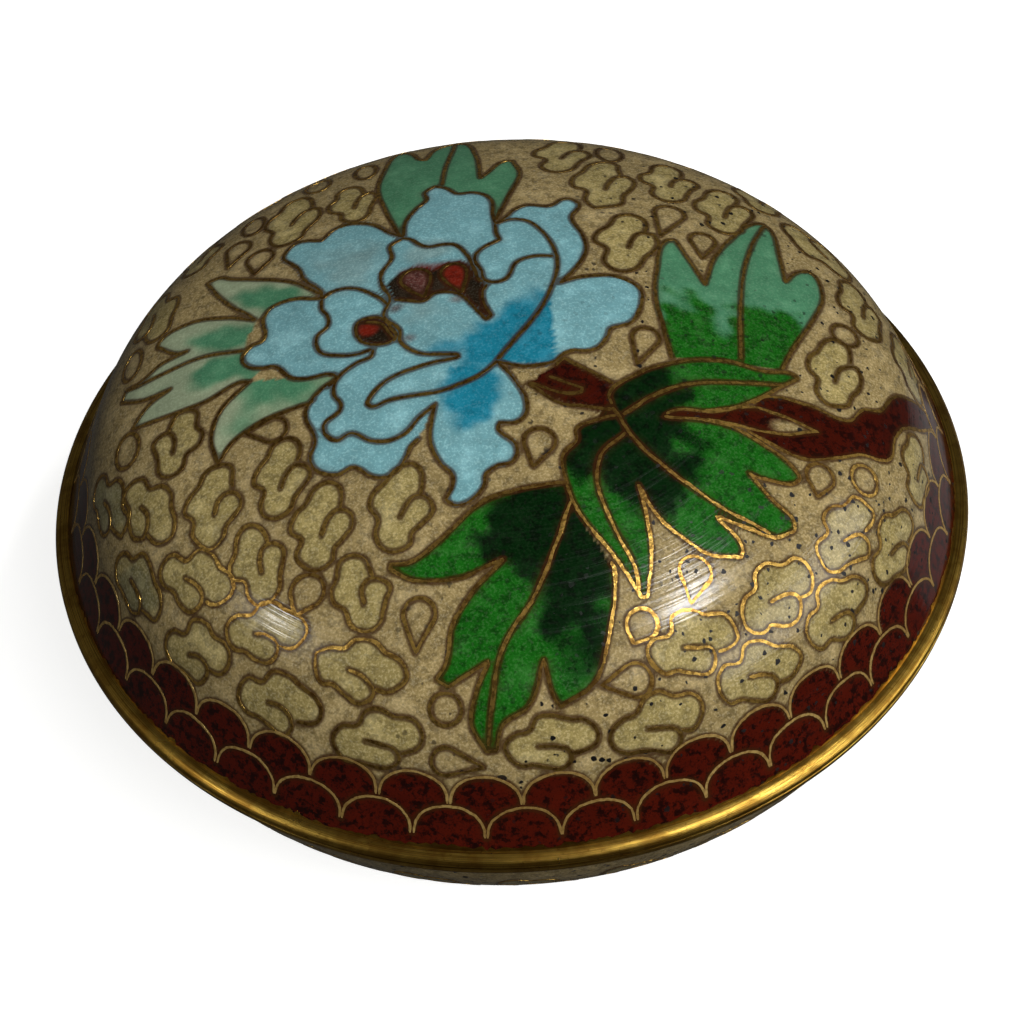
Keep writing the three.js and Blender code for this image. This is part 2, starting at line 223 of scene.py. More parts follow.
class Glaze(Enum):
    """The glazes in the enameller's dishes."""

    GROUND = GlazeMix((0.47, 0.345, 0.14), 0.5, 0.6, 0.9)
    CLOUD = GlazeMix((0.5, 0.39, 0.14), 0.45, 0.65, 0.9)
    PETAL = GlazeMix((0.25, 0.56, 0.61), 0.1, 0.55, 0.25)
    PETAL_DEEP = GlazeMix((0.016, 0.3, 0.44), 0.25, 0.2, 0.3)
    PETAL_GREY = GlazeMix((0.3, 0.44, 0.42), 0.1, 0.4, 0.2)
    MINT = GlazeMix((0.1, 0.33, 0.17), 0.12, 0.25, 0.3)
    LEAF_PALE = GlazeMix((0.46, 0.55, 0.34), 0.1, 0.3, 0.3)
    LEAF_BRIGHT = GlazeMix((0.012, 0.17, 0.009), 0.65, 0.16, 0.4)
    LEAF_DARK = GlazeMix((0.0008, 0.021, 0.002), 0.8, 0.03, 0.4)
    BARK = GlazeMix((0.065, 0.005, 0.001), 0.95, 0.0, 0.4)
    SCALE = GlazeMix((0.09, 0.006, 0.001), 1.1, 0.0, 0.5)
    CLOUD_GREY = GlazeMix((0.25, 0.23, 0.11), 0.4, 0.6, 0.9)
    STAMEN = GlazeMix((0.26, 0.018, 0.006), 0.4, 0.12, 0.1)
    STAMEN_PINK = GlazeMix((0.16, 0.05, 0.04), 0.5, 0.5, 0.1)
    POCKET = GlazeMix((0.022, 0.014, 0.006), 0.5, 0.15, 0.1)


@dataclass(frozen=True)
class Wash:
    """A soft oval patch of glaze: centre, half sizes, turn in degrees anticlockwise, and how it shows.

    It is full in its middle and fades over its softness, which is a share of its reach.
    """

    glaze: Glaze
    x: float
    y: float
    reach_x: float
    reach_y: float
    turn: float = 0.0
    softness: float = 0.5
    strength: float = 1.0


LEFT_LEAF_WASHES = (
    Wash(Glaze.MINT, -18.5, 7.2, 5, 2.2, -28, 0.6),
    Wash(Glaze.MINT, -22, 3.6, 5.5, 2, -18, 0.6),
    Wash(Glaze.MINT, -22, 0.4, 6, 2, 4, 0.6),
    Wash(Glaze.MINT, -17, -3.4, 6.5, 3.4, -10, 0.8),
    Wash(Glaze.MINT, -20.5, -6, 3, 2, -50, 0.9, 0.7),
)
RIGHT_LEAF_WASHES = (
    Wash(Glaze.LEAF_BRIGHT, 15, -4, 5, 7.5, 0, 0.3),
    Wash(Glaze.LEAF_BRIGHT, 21.5, -4, 6, 8, 0, 0.25),
)
KNOT_WASH = Wash(Glaze.GROUND, 22.5, -9.8, 2, 1.2, 0, 0.6)
SIDE_LEAF_WASH = Wash(Glaze.LEAF_DARK, 8.6, -7.4, 6.8, 5.2, 20, 0.4)
FRONT_LEAF_WASHES = (
    Wash(Glaze.LEAF_DARK, 8.4, -12.2, 8.6, 5.4, -20, 0.4),
    Wash(Glaze.LEAF_DARK, 10.4, -15.8, 3.6, 4.6, 20, 0.5),
)
LOW_LEAF_WASHES = (
    Wash(Glaze.LEAF_DARK, 1.2, -19, 4.8, 5.6, 0, 0.4),
    Wash(Glaze.LEAF_DARK, 4.6, -22.8, 4.4, 7.8, 8, 0.4),
    Wash(Glaze.LEAF_DARK, 4.2, -28.4, 3, 4.6, 0, 0.8, 0.6),
)
GREY_PETAL_WASHES = (
    Wash(Glaze.PETAL_GREY, -12, 9, 5, 5, 0, 0.9, 0.55),
    Wash(Glaze.PETAL_GREY, -5.5, 9.2, 3.5, 1.8, 0, 0.7, 0.6),
    Wash(Glaze.PETAL_GREY, -6, 1.5, 2.5, 2.5, 0, 0.9, 0.5),
)
# The deep blue in the middle of the flower, and the pale petals beside it that it keeps off.
MIDDLE_WASHES = (
    Wash(Glaze.PETAL_DEEP, -0.8, -3, 3.4, 3.4, 20, 0.5),
    Wash(Glaze.PETAL_DEEP, -3.6, -2.6, 2.6, 1.7, 20, 0.7, 0.8),
    Wash(Glaze.PETAL_DEEP, 1.5, 0, 2.3, 4.4, -28, 0.6),
)
MIDDLE_KEPT_PALE = ((-5.2, -3), (-3, -3.5), (-9, -5), (-12, -2), (-9, 0))
# The deep blue of the long fold, and of the lowest petal below a line across the flower.
FOLD_CELL = ((4.2, 3.6), (4.3, -5.2), (-0.25, -4.4), (2.75, 0), (4.25, 3))
FOLD_WASH = Wash(Glaze.PETAL_DEEP, 2.6, -2.4, 3, 7, -25, 0.25)
LOW_PETAL_TOP = -4.6
LOW_PETAL_WASH = Wash(Glaze.PETAL_DEEP, -2.4, -7, 2.9, 4.4, -6, 0.5)
# The red and pink in and about the dark heart.
HEART_WASH = Wash(Glaze.STAMEN, -4.6, 7.2, 3.6, 0.9, 0, 0.8, 0.75)
BLUSH_WASHES = (
    Wash(Glaze.STAMEN_PINK, -8, 2.6, 1, 0.9, 0, 0.9, 0.8),
    Wash(Glaze.STAMEN_PINK, -3.1, 2.8, 1, 0.7, 0, 0.9, 0.7),
)
LOW_BLUSH_WASH = Wash(Glaze.STAMEN_PINK, -7, -0.9, 0.9, 0.8, 0, 0.9, 0.7)
LOW_STAMEN_WASH = Wash(Glaze.STAMEN, -10.1, 0.8, 1.1, 1.1, 0, 0.4)


def ring_steps(count: int) -> np.ndarray:
    """Even steps of azimuth round a circle, in radians."""
    return np.arange(count) * 2 * math.pi / count


def turned(radius: np.ndarray | float, azimuth: np.ndarray | float, *height: np.ndarray) -> np.ndarray:
    """Points at a distance and a direction from the axis, with their heights if there are any."""
    return np.stack(np.broadcast_arrays(radius * np.cos(azimuth), radius * np.sin(azimuth), *height), -1)


@dataclass(frozen=True)
class TurnedForm:
    """The turned outer curve of one half, crown upwards, with heights from its rim plane.

    A crown arc centred on the axis runs into a tangent shoulder arc and then a straight leaning side.
    """

    edge_radius: float
    rim_height: float
    wall_height: float
    wall_lean: float
    shoulder_radius: float
    crown_slope: float

    @property
    def wall_slope(self) -> float:
        """The side's slope from level, in radians."""
        return math.radians(90 - self.wall_lean)

    @property
    def shoulder_centre(self) -> tuple[float, float]:
        """The shoulder arc's centre: square off the top of the side, by the shoulder's radius."""
        top_radius = self.edge_radius - self.wall_height * math.tan(math.radians(self.wall_lean))
        return (
            top_radius - self.shoulder_radius * math.sin(self.wall_slope),
            self.rim_height + self.wall_height - self.shoulder_radius * math.cos(self.wall_slope),
        )

    @property
    def crown_radius(self) -> float:
        """The crown arc's radius, which makes it tangent to the shoulder."""
        return self.shoulder_centre[0] / math.sin(math.radians(self.crown_slope)) + self.shoulder_radius

    @property
    def crown_centre_height(self) -> float:
        """The height of the crown arc's centre, which lies on the axis."""
        reach = self.crown_radius - self.shoulder_radius
        return self.shoulder_centre[1] - reach * math.cos(math.radians(self.crown_slope))

    @property
    def crown_run(self) -> float:
        """The length of the crown arc from the axis."""
        return self.crown_radius * math.radians(self.crown_slope)

    @property
    def shoulder_run(self) -> float:
        """The length of the curve from the axis to the end of the shoulder."""
        return self.crown_run + self.shoulder_radius * (self.wall_slope - math.radians(self.crown_slope))

    @property
    def full_run(self) -> float:
        """The length of the whole curve from the axis to the rim."""
        return self.shoulder_run + self.wall_height / math.cos(math.radians(self.wall_lean))

    def section(self, run: np.ndarray, inset: float = 0.0) -> tuple[np.ndarray, np.ndarray, np.ndarray]:
        """Finds the curve's radius, height and slope at lengths along it.

        On an arc the point is its centre plus (radius - inset) along the outward normal (sin slope,
        cos slope), and on the side it slides down from the side's top.

        Args:
            run: lengths from the axis along the outer curve.
            inset: how far the point lies inside the outer curve.

        Returns:
            Radii, heights and slopes, as arrays.
        """
        run = np.asarray(run, float)
        crown_slope = math.radians(self.crown_slope)
        slope = np.where(
            run <= self.crown_run,
            run / self.crown_radius,
            np.minimum(crown_slope + (run - self.crown_run) / self.shoulder_radius, self.wall_slope),
        )
        on_crown = run <= self.crown_run
        reach = np.where(on_crown, self.crown_radius, self.shoulder_radius) - inset
        centre_r = np.where(on_crown, 0.0, self.shoulder_centre[0])
        centre_h = np.where(on_crown, self.crown_centre_height, self.shoulder_centre[1])
        down = np.maximum(run - self.shoulder_run, 0.0)
        radius = centre_r + reach * np.sin(slope) + down * math.cos(self.wall_slope)
        height = centre_h + reach * np.cos(slope) - down * math.sin(self.wall_slope)
        return radius, height, slope

    def run_at_radius(self, radius: float) -> float:
        """The length along the curve at a distance from the axis."""
        runs = np.linspace(0, self.full_run, 2000)
        return float(np.interp(radius, self.section(runs)[0], runs))


@dataclass(frozen=True)
class UnrolledSkin:
    """A turned form placed in the box, on which plane points (length along the curve, azimuth) are laid."""

    form: TurnedForm
    plane_height: float
    upright: bool = True

    def place(self, plane: Path, inset: float | np.ndarray = 0.0) -> np.ndarray:
        """Lifts plane points onto the skin: their distance is the run and their direction the azimuth."""
        radius, height, slope = self.form.section(np.hypot(plane[:, 0], plane[:, 1]))
        azimuth = np.arctan2(plane[:, 1], plane[:, 0])
        radius = radius - inset * np.sin(slope)
        height = height - inset * np.cos(slope)
        return turned(radius, azimuth, self.plane_height + (height if self.upright else -height))

    def normals(self, plane: Path) -> np.ndarray:
        """The outward normals at plane points."""
        slope = self.form.section(np.hypot(plane[:, 0], plane[:, 1]))[2]
        azimuth = np.arctan2(plane[:, 1], plane[:, 0])
        return turned(np.sin(slope), azimuth, np.cos(slope) if self.upright else -np.cos(slope))


def smooth_path(points: Path | tuple, corner: float = 62.0, cubic_steps: int = 8) -> Path:
    """Bends a line smoothly through its points, with a corner where they turn by more than an angle.

    Each stretch is a cubic whose end directions are those of the chord across each point, times the
    stretch's length. At a corner each side keeps its own direction.

    Args:
        points: the points, first and last alike for a closed line.
        corner: turn in degrees past which a point is a corner.
        cubic_steps: steps in each stretch, before the line is spaced out again.

    Returns:
        Evenly spaced points.
    """
    knots = np.asarray(points, float)
    spans = np.diff(knots, axis=0)
    lengths = np.linalg.norm(spans, axis=1)
    units = spans / lengths[:, None]
    closed = np.allclose(knots[0], knots[-1])
    before = np.vstack((units[-1] if closed else units[0], units))
    after = np.vstack((units, units[0] if closed else units[-1]))
    turns = np.degrees(np.arccos(np.clip((before * after).sum(1), -1, 1)))
    blended = before + after
    blended /= np.maximum(np.linalg.norm(blended, axis=1), 1e-9)[:, None]
    sharp = (turns > corner)[:, None]
    arriving = np.where(sharp, before, blended)
    leaving = np.where(sharp, after, blended)
    share = np.linspace(0, 1, cubic_steps + 1)[None, :-1, None]
    scale = lengths[:, None, None]
    curve = (
        (2 * share**3 - 3 * share**2 + 1) * knots[:-1, None]
        + (share**3 - 2 * share**2 + share) * scale * leaving[:-1, None]
        + (3 * share**2 - 2 * share**3) * knots[1:, None]
        + (share**3 - share**2) * scale * arriving[1:, None]
    ).reshape(-1, 2)
    return evenly_spaced(np.vstack((curve, knots[-1])))


def evenly_spaced(path: Path, step: float = PATH_STEP) -> Path:
    """Lays points at even steps along a line."""
    along = np.concatenate(([0.0], np.cumsum(np.linalg.norm(np.diff(path, axis=0), axis=1))))
    marks = np.linspace(0, along[-1], max(2, round(along[-1] / step) + 1))
    return np.column_stack((np.interp(marks, along, path[:, 0]), np.interp(marks, along, path[:, 1])))


def inside(points: Path, outline: Path) -> np.ndarray:
    """Tells which points lie in an outline: a ray to the right crosses it an odd number of times."""
    found = np.zeros(len(points), bool)
    low, high = outline.min(0), outline.max(0)
    near = np.flatnonzero(((points >= low) & (points <= high)).all(1))
    if near.size == 0:
        return found
    ends = np.roll(outline, -1, axis=0)
    x, y = points[near, 0][:, None], points[near, 1][:, None]
    rise = ends[:, 1] - outline[:, 1]
    rise = np.where(rise == 0, 1e-9, rise)
    crosses = (outline[:, 1] > y) != (ends[:, 1] > y)
    meeting = outline[:, 0] + (y - outline[:, 1]) * (ends[:, 0] - outline[:, 0]) / rise
    found[near] = (crosses & (x < meeting)).sum(1) % 2 == 1
    return found


def drop_path(x: float, y: float, radius: float, point_x: float, point_y: float, steps: int = 24) -> Path:
    """A drop: from its point along one tangent, round its circle and back along the other tangent."""
    away = math.atan2(point_y - y, point_x - x)
    reach = math.hypot(point_x - x, point_y - y)
    touch = math.acos(min(1.0, radius / reach))
    angles = np.linspace(away + touch, away + 2 * math.pi - touch, steps)
    arc = turned(radius, angles) + (x, y)
    return evenly_spaced(np.vstack(((point_x, point_y), arc, (point_x, point_y))))


def ring_path(x: float, y: float, half_width: float, half_height: float, steps: int = 33) -> Path:
    """An oval ring round a centre."""
    angles = np.linspace(0, 2 * math.pi, steps)
    return np.column_stack((x + half_width * np.cos(angles), y + half_height * np.sin(angles)))


def cloud_paths(x: float, y: float, half_length: float, half_width: float, turn: float,
                jitter: np.random.Generator, wander: float = 0.05,
                corner: float = 75.0) -> tuple[Path, Path]:
    """One scrolled cloud: its wire, and the outline that its glaze fills.

    Args:
        x, y: centre.
        half_length, half_width: half sizes; a negative width mirrors the cloud.
        turn: degrees anticlockwise.
        jitter: random source that bends each cloud a little differently.
        wander: how far it moves a point, as a share of the half sizes.
        corner: turn in degrees past which a point is a corner.

    Returns:
        The wire's line and the filled outline.
    """
    knots = np.array(CLOUD_WIRE) + jitter.uniform(-wander, wander, (len(CLOUD_WIRE), 2))
    knots = knots * (half_length, half_width)
    cos, sin = math.cos(math.radians(turn)), math.sin(math.radians(turn))
    knots = knots @ np.array(((cos, sin), (-sin, cos))) + (x, y)
    return smooth_path(knots, corner), smooth_path(knots[CLOUD_CURL_POINTS:], corner)


def new_piece(name: str, vertices: np.ndarray, faces: list[np.ndarray],
              crease: float | None = None) -> bpy.types.Object:
    """Makes a mesh object from millimetre vertices and face arrays.

    Args:
        name: the piece's name.
        vertices: points in the box's frame.
        faces: arrays of vertex numbers, one row a face.
        crease: angle in degrees past which an edge is sharp, or None for flat faces.

    Returns:
        The linked object.
    """
    mesh = bpy.data.meshes.new(name)
    mesh.vertices.add(len(vertices))
    mesh.vertices.foreach_set("co", (vertices * MM).astype(np.float32).ravel())
    corners = np.concatenate([face.ravel() for face in faces]).astype(np.int32)
    sizes = np.concatenate([np.full(len(face), face.shape[1]) for face in faces])
    starts = np.concatenate(([0], np.cumsum(sizes)[:-1])).astype(np.int32)
    mesh.loops.add(len(corners))
    mesh.loops.foreach_set("vertex_index", corners)
    mesh.polygons.add(len(sizes))
    mesh.polygons.foreach_set("loop_start", starts)
    mesh.update(calc_edges=True)
    if crease is None:
        mesh.shade_flat()
    else:
        mesh.shade_smooth()
        mesh.set_sharp_from_angle(angle=math.radians(crease))
    piece = bpy.data.objects.new(name, mesh)
    bpy.context.scene.collection.objects.link(piece)
    return piece


def store(piece: bpy.types.Object, name: str, values: np.ndarray) -> None:
    """Stores a number or a colour for each vertex of a piece."""
    if values.ndim == 1:
        layer = piece.data.attributes.new(name, "FLOAT", "POINT")
        layer.data.foreach_set("value", values.astype(np.float32))
        return
    layer = piece.data.attributes.new(name, "FLOAT_COLOR", "POINT")
    colours = np.column_stack((values, np.ones(len(values))))
    layer.data.foreach_set("color", colours.astype(np.float32).ravel())


def turned_faces(rows: int, columns: int) -> np.ndarray:
    """Faces of a closed section turned round: rows and columns both meet themselves."""
    row, column = np.meshgrid(np.arange(rows), np.arange(columns), indexing="ij")
    next_row, next_column = (row + 1) % rows, (column + 1) % columns
    corners = (row * columns + column, row * columns + next_column,
               next_row * columns + next_column, next_row * columns + column)
    return np.stack(corners, -1).reshape(-1, 4)


def turned_piece(name: str, section: np.ndarray, columns: int = 288, crease: float = 32.0,
                 ripple: np.ndarray | float = 0.0) -> bpy.types.Object:
    """Turns a section about the box's axis into a closed piece, with its length round the section stored.

    A section whose first and last points lie on the axis gets a pole at each.

    Args:
        name: the piece's name.
        section: radius and height of each point, anticlockwise with the radius to the right.
        columns: number of steps round the axis.
        crease: angle past which an edge is sharp.
        ripple: radius and height added at each point and column.

    Returns:
        The object.
    """
    poles = section[0, 0] < 1e-6
    rings = section[1:-1] if poles else section
    placed = np.repeat(rings[:, None], columns, axis=1) + ripple
    vertices = turned(placed[..., 0], ring_steps(columns), placed[..., 1]).reshape(-1, 3)
    run = np.concatenate(([0.0], np.cumsum(np.linalg.norm(np.diff(rings, axis=0), axis=1))))
    runs = np.repeat(run, columns)
    faces = [turned_faces(len(rings), columns)]
    if poles:
        faces[0] = faces[0][: (len(rings) - 1) * columns]
        first, last = len(vertices), len(vertices) + 1
        vertices = np.vstack((vertices, (0, 0, section[0, 1]), (0, 0, section[-1, 1])))
        runs = np.concatenate((runs, (run[0], run[-1])))
        here = np.arange(columns)
        there = (here + 1) % columns
        top = (len(rings) - 1) * columns
        faces.append(np.column_stack((np.full(columns, first), there, here)))
        faces.append(np.column_stack((np.full(columns, last), top + here, top + there)))
    piece = new_piece(name, vertices, faces, crease)
    store(piece, "section_run", runs)
    return piece


def quarter_bead(radius: float, ledge: float, low: float, high: float, steps: int = 10) -> np.ndarray:
    """A quarter of an ellipse from (radius, low) round to (radius - ledge, high)."""
    turn = np.linspace(0, math.pi / 2, steps)
    return np.column_stack((radius - ledge * (1 - np.cos(turn)), low + (high - low) * np.sin(turn)))


def ring_noise(columns: int, waves: int, amplitude: float, seed: int) -> np.ndarray:
    """A smooth random line round a ring: a sum of cosines with random heights and phases."""
    source = np.random.default_rng(seed)
    azimuth = ring_steps(columns)
    orders = np.arange(1, waves + 1)
    heights = source.normal(size=waves) / np.sqrt(waves / 2)
    phases = source.uniform(0, 2 * math.pi, waves)
    return amplitude * (heights[:, None] * np.cos(orders[:, None] * azimuth + phases[:, None])).sum(0)


def smoothed_steps(source: np.random.Generator, count: int, taps: int) -> np.ndarray:
    """Random numbers of unit size, each the sum of a few neighbours over the root of how many."""
    return np.convolve(source.normal(size=count + taps - 1), np.ones(taps) / math.sqrt(taps), "valid")


@dataclass(frozen=True)
class WireGauge:
    """The flat wire that walls the cells, in millimetres and shares of its width.

    Its top is narrower than its foot by the crown, and its ends narrow by the taper. Its width and its
    place wander by the unevenness and the sway, smoothed over a few points. Wires that cross are set
    a little deeper by turns, by the stagger.
    """

    width: float = 0.34
    depth: float = 0.16
    crown: float = 0.72
    taper: float = 0.55
    unevenness: float = 0.16
    sway: float = 0.035
    stagger: float = 0.004

    def bend(self, name: str, skin: UnrolledSkin, paths: list[Path], seed: int) -> bpy.types.Object:
        """Lays flat wires along plane lines, as one mesh of closed strips.

        Each section is a trapezium across the line, from the wire's flat top down into the enamel.

        Args:
            name: the piece's name.
            skin: what the wires lie on.
            paths: plane lines of the wires.
            seed: random seed of their unevenness.

        Returns:
            The object.
        """
        source = np.random.default_rng(seed)
        vertices, faces, start = [], [], 0
        for number, path in enumerate(paths):
            count = len(path)
            middle = skin.place(path, self.stagger * (number % 5))
            normal = skin.normals(path)
            along = np.gradient(middle, axis=0)
            side = np.cross(normal, along)
            side /= np.maximum(np.linalg.norm(side, axis=1), 1e-9)[:, None]
            wander = smoothed_steps(source, count, 5)
            sway = self.sway * smoothed_steps(source, count, 9)
            middle = middle + side * sway[:, None]
            half = self.width / 2 * (1 + self.unevenness * wander)
            half[[0, -1]] *= self.taper
            out, deep = side * half[:, None], normal * self.depth
            ring = np.stack((middle - out - deep, middle - out * self.crown,
                             middle + out * self.crown, middle + out - deep), 1)
            vertices.append(ring.reshape(-1, 3))
            strip = turned_faces(count, 4)[:-4]
            last = (count - 1) * 4
            caps = np.array(((3, 2, 1, 0), (last, last + 1, last + 2, last + 3)))
            faces.append(np.vstack((strip, caps))[:, ::-1] + start)
            start += count * 4
        return new_piece(name, np.vstack(vertices), [np.vstack(faces)])


def uncovered(path: Path, covers: list[Path], margin: float = 0.25, shortest: int = 4) -> list[Path]:
    """Cuts away what lies well inside later cells, and returns the stretches that are long enough."""
    hidden = np.zeros(len(path), bool)
    shifts = np.array(((margin, 0), (-margin, 0), (0, margin), (0, -margin)))
    for cover in covers:
        hidden |= np.all([inside(path + shift, cover) for shift in shifts], axis=0)
    breaks = np.flatnonzero(np.diff(hidden.astype(int))) + 1
    runs = np.split(np.arange(len(path)), breaks)
    return [path[run] for run in runs if not hidden[run[0]] and len(run) >= shortest]


def plane_noise(points: Path, waves: int = 24, shortest: float = 1.4, longest: float = 7.0) -> np.ndarray:
    """Smooth random values of about -1 to 1: a sum of sine waves in random directions and lengths."""
    source = np.random.default_rng(SEED + 9)
    lengths = source.uniform(shortest, longest, waves)
    headings = source.uniform(0, 2 * math.pi, waves)
    phases = source.uniform(0, 2 * math.pi, waves)
    waves_along = points @ np.stack((np.cos(headings), np.sin(headings))) * (2 * math.pi / lengths)
    return np.sin(waves_along + phases).sum(1) / math.sqrt(waves / 2)


class PaintedCells:
    """The glazes laid into the cells of a plane drawing, held for each vertex of an enamel skin."""

    raggedness: float = 0.13

    def __init__(self, points: Path) -> None:
        """Starts with the ground glaze everywhere."""
        ground = Glaze.GROUND.value
        self.points = points
        self.colour = np.tile(ground.colour, (len(points), 1))
        self.grain = np.tile((ground.dark_frit, ground.pale_frit, ground.pitting), (len(points), 1))
        self.drift = plane_noise(points)

    def lay(self, glaze: Glaze, share: np.ndarray) -> None:
        """Lays a glaze over the vertices by a share from 0 to 1 each."""
        share = share.astype(float)[:, None]
        mix = glaze.value
        self.colour += (np.array(mix.colour) - self.colour) * share
        self.grain += (np.array((mix.dark_frit, mix.pale_frit, mix.pitting)) - self.grain) * share

    def fill(self, glaze: Glaze, outline: Path) -> np.ndarray:
        """Fills a cell with one glaze, and returns which vertices it holds."""
        cell = inside(self.points, outline)
        self.lay(glaze, cell)
        return cell

    def shade(self, cell: np.ndarray, *washes: Wash) -> None:
        """Shades the vertices of a cell with soft patches, one over another, whose edges are ragged."""
        for wash in washes:
            cos, sin = math.cos(math.radians(wash.turn)), math.sin(math.radians(wash.turn))
            offset = self.points - (wash.x, wash.y)
            along = (offset[:, 0] * cos + offset[:, 1] * sin) / wash.reach_x
            across = (offset[:, 1] * cos - offset[:, 0] * sin) / wash.reach_y
            edge = np.hypot(along, across) + self.raggedness * self.drift
            share = np.clip((1 - edge) / wash.softness, 0, 1)
            self.lay(wash.glaze, cell * share**2 * (3 - 2 * share) * wash.strength)


def wire_gaps(points: Path, paths: list[Path], reach: float = 1.1, pitch: float = 0.1) -> np.ndarray:
    """Measures how far each point lies from the nearest wire's middle, up to a reach.

    The wires' points are stamped into a square raster, each cell keeping its least distance, and the
    raster is read back at the points.

    Args:
        points: plane points.
        paths: the wires' plane lines.
        reach: the largest distance measured.
        pitch: size of a raster cell.

    Returns:
        A distance for each point.
    """
    half = np.abs(points).max() + 2 * reach
    size = int(2 * half / pitch) + 1
    raster = np.full((size, size), reach)
    samples = np.vstack([evenly_spaced(path, pitch) for path in paths])
    cells = np.rint((samples + half) / pitch).astype(int)
    keep = ((cells > 0) & (cells < size)).all(1)
    samples, cells = samples[keep], cells[keep]
    width = int(reach / pitch)
    for row in range(-width, width + 1):
        for column in range(-width, width + 1):
            if math.hypot(row, column) > width:
                continue
            target = np.clip(cells + (column, row), 0, size - 1)
            distance = np.hypot(*(target * pitch - half - samples).T)
            np.minimum.at(raster, (target[:, 1], target[:, 0]), distance)
    where = (points + half) / pitch
    low = np.clip(where.astype(int), 0, size - 2)
    share = where - low
    rows, columns = low[:, 1], low[:, 0]
    left = raster[rows, columns] * (1 - share[:, 1]) + raster[rows + 1, columns] * share[:, 1]
    right = raster[rows, columns + 1] * (1 - share[:, 1]) + raster[rows + 1, columns + 1] * share[:, 1]
    return left * (1 - share[:, 0]) + right * share[:, 0]


@dataclass(frozen=True)
class Number:
    """A number's output socket, on which arithmetic adds Math nodes."""

    tree: bpy.types.NodeTree
    socket: bpy.types.NodeSocket

    def math(self, operation: str, *others: "Number | float") -> "Number":
        """Adds one Math node.

        Args:
            operation: the Math node's operation.
            others: the operands that follow this number.

        Returns:
            The node's result.
        """
        node = self.tree.nodes.new("ShaderNodeMath")
        node.operation = operation
        for slot, operand in enumerate((self, *others)):
            if isinstance(operand, Number):
                self.tree.links.new(operand.socket, node.inputs[slot])
            else:
                node.inputs[slot].default_value = operand
        return Number(self.tree, node.outputs[0])

    def __add__(self, other: "Number | float") -> "Number":
        """Sum."""
        return self.math("ADD", other)

    def __sub__(self, other: "Number | float") -> "Number":
        """Difference."""
        return self.math("SUBTRACT", other)

    def __mul__(self, other: "Number | float") -> "Number":
        """Product."""
        return self.math("MULTIPLY", other)

    __radd__ = __add__
    __rmul__ = __mul__

    def band(self, band: Band) -> "Number":
        """Rises from 0 where a band starts to its strength where it shows fully."""
        start, full, strength = band
        return self.ramp(start, full) * strength

    def ramp(self, low: float, high: float) -> "Number":
        """Rises smoothly from 0 at low to 1 at high, or falls where high is the lower."""
        node = self.tree.nodes.new("ShaderNodeMapRange")
        node.interpolation_type = "SMOOTHSTEP"
        self.tree.links.new(self.socket, node.inputs["Value"])
        node.inputs["From Min"].default_value = min(low, high)
        node.inputs["From Max"].default_value = max(low, high)
        node.inputs["To Min"].default_value = 0.0 if low < high else 1.0
        node.inputs["To Max"].default_value = 1.0 if low < high else 0.0
        return Number(self.tree, node.outputs["Result"])


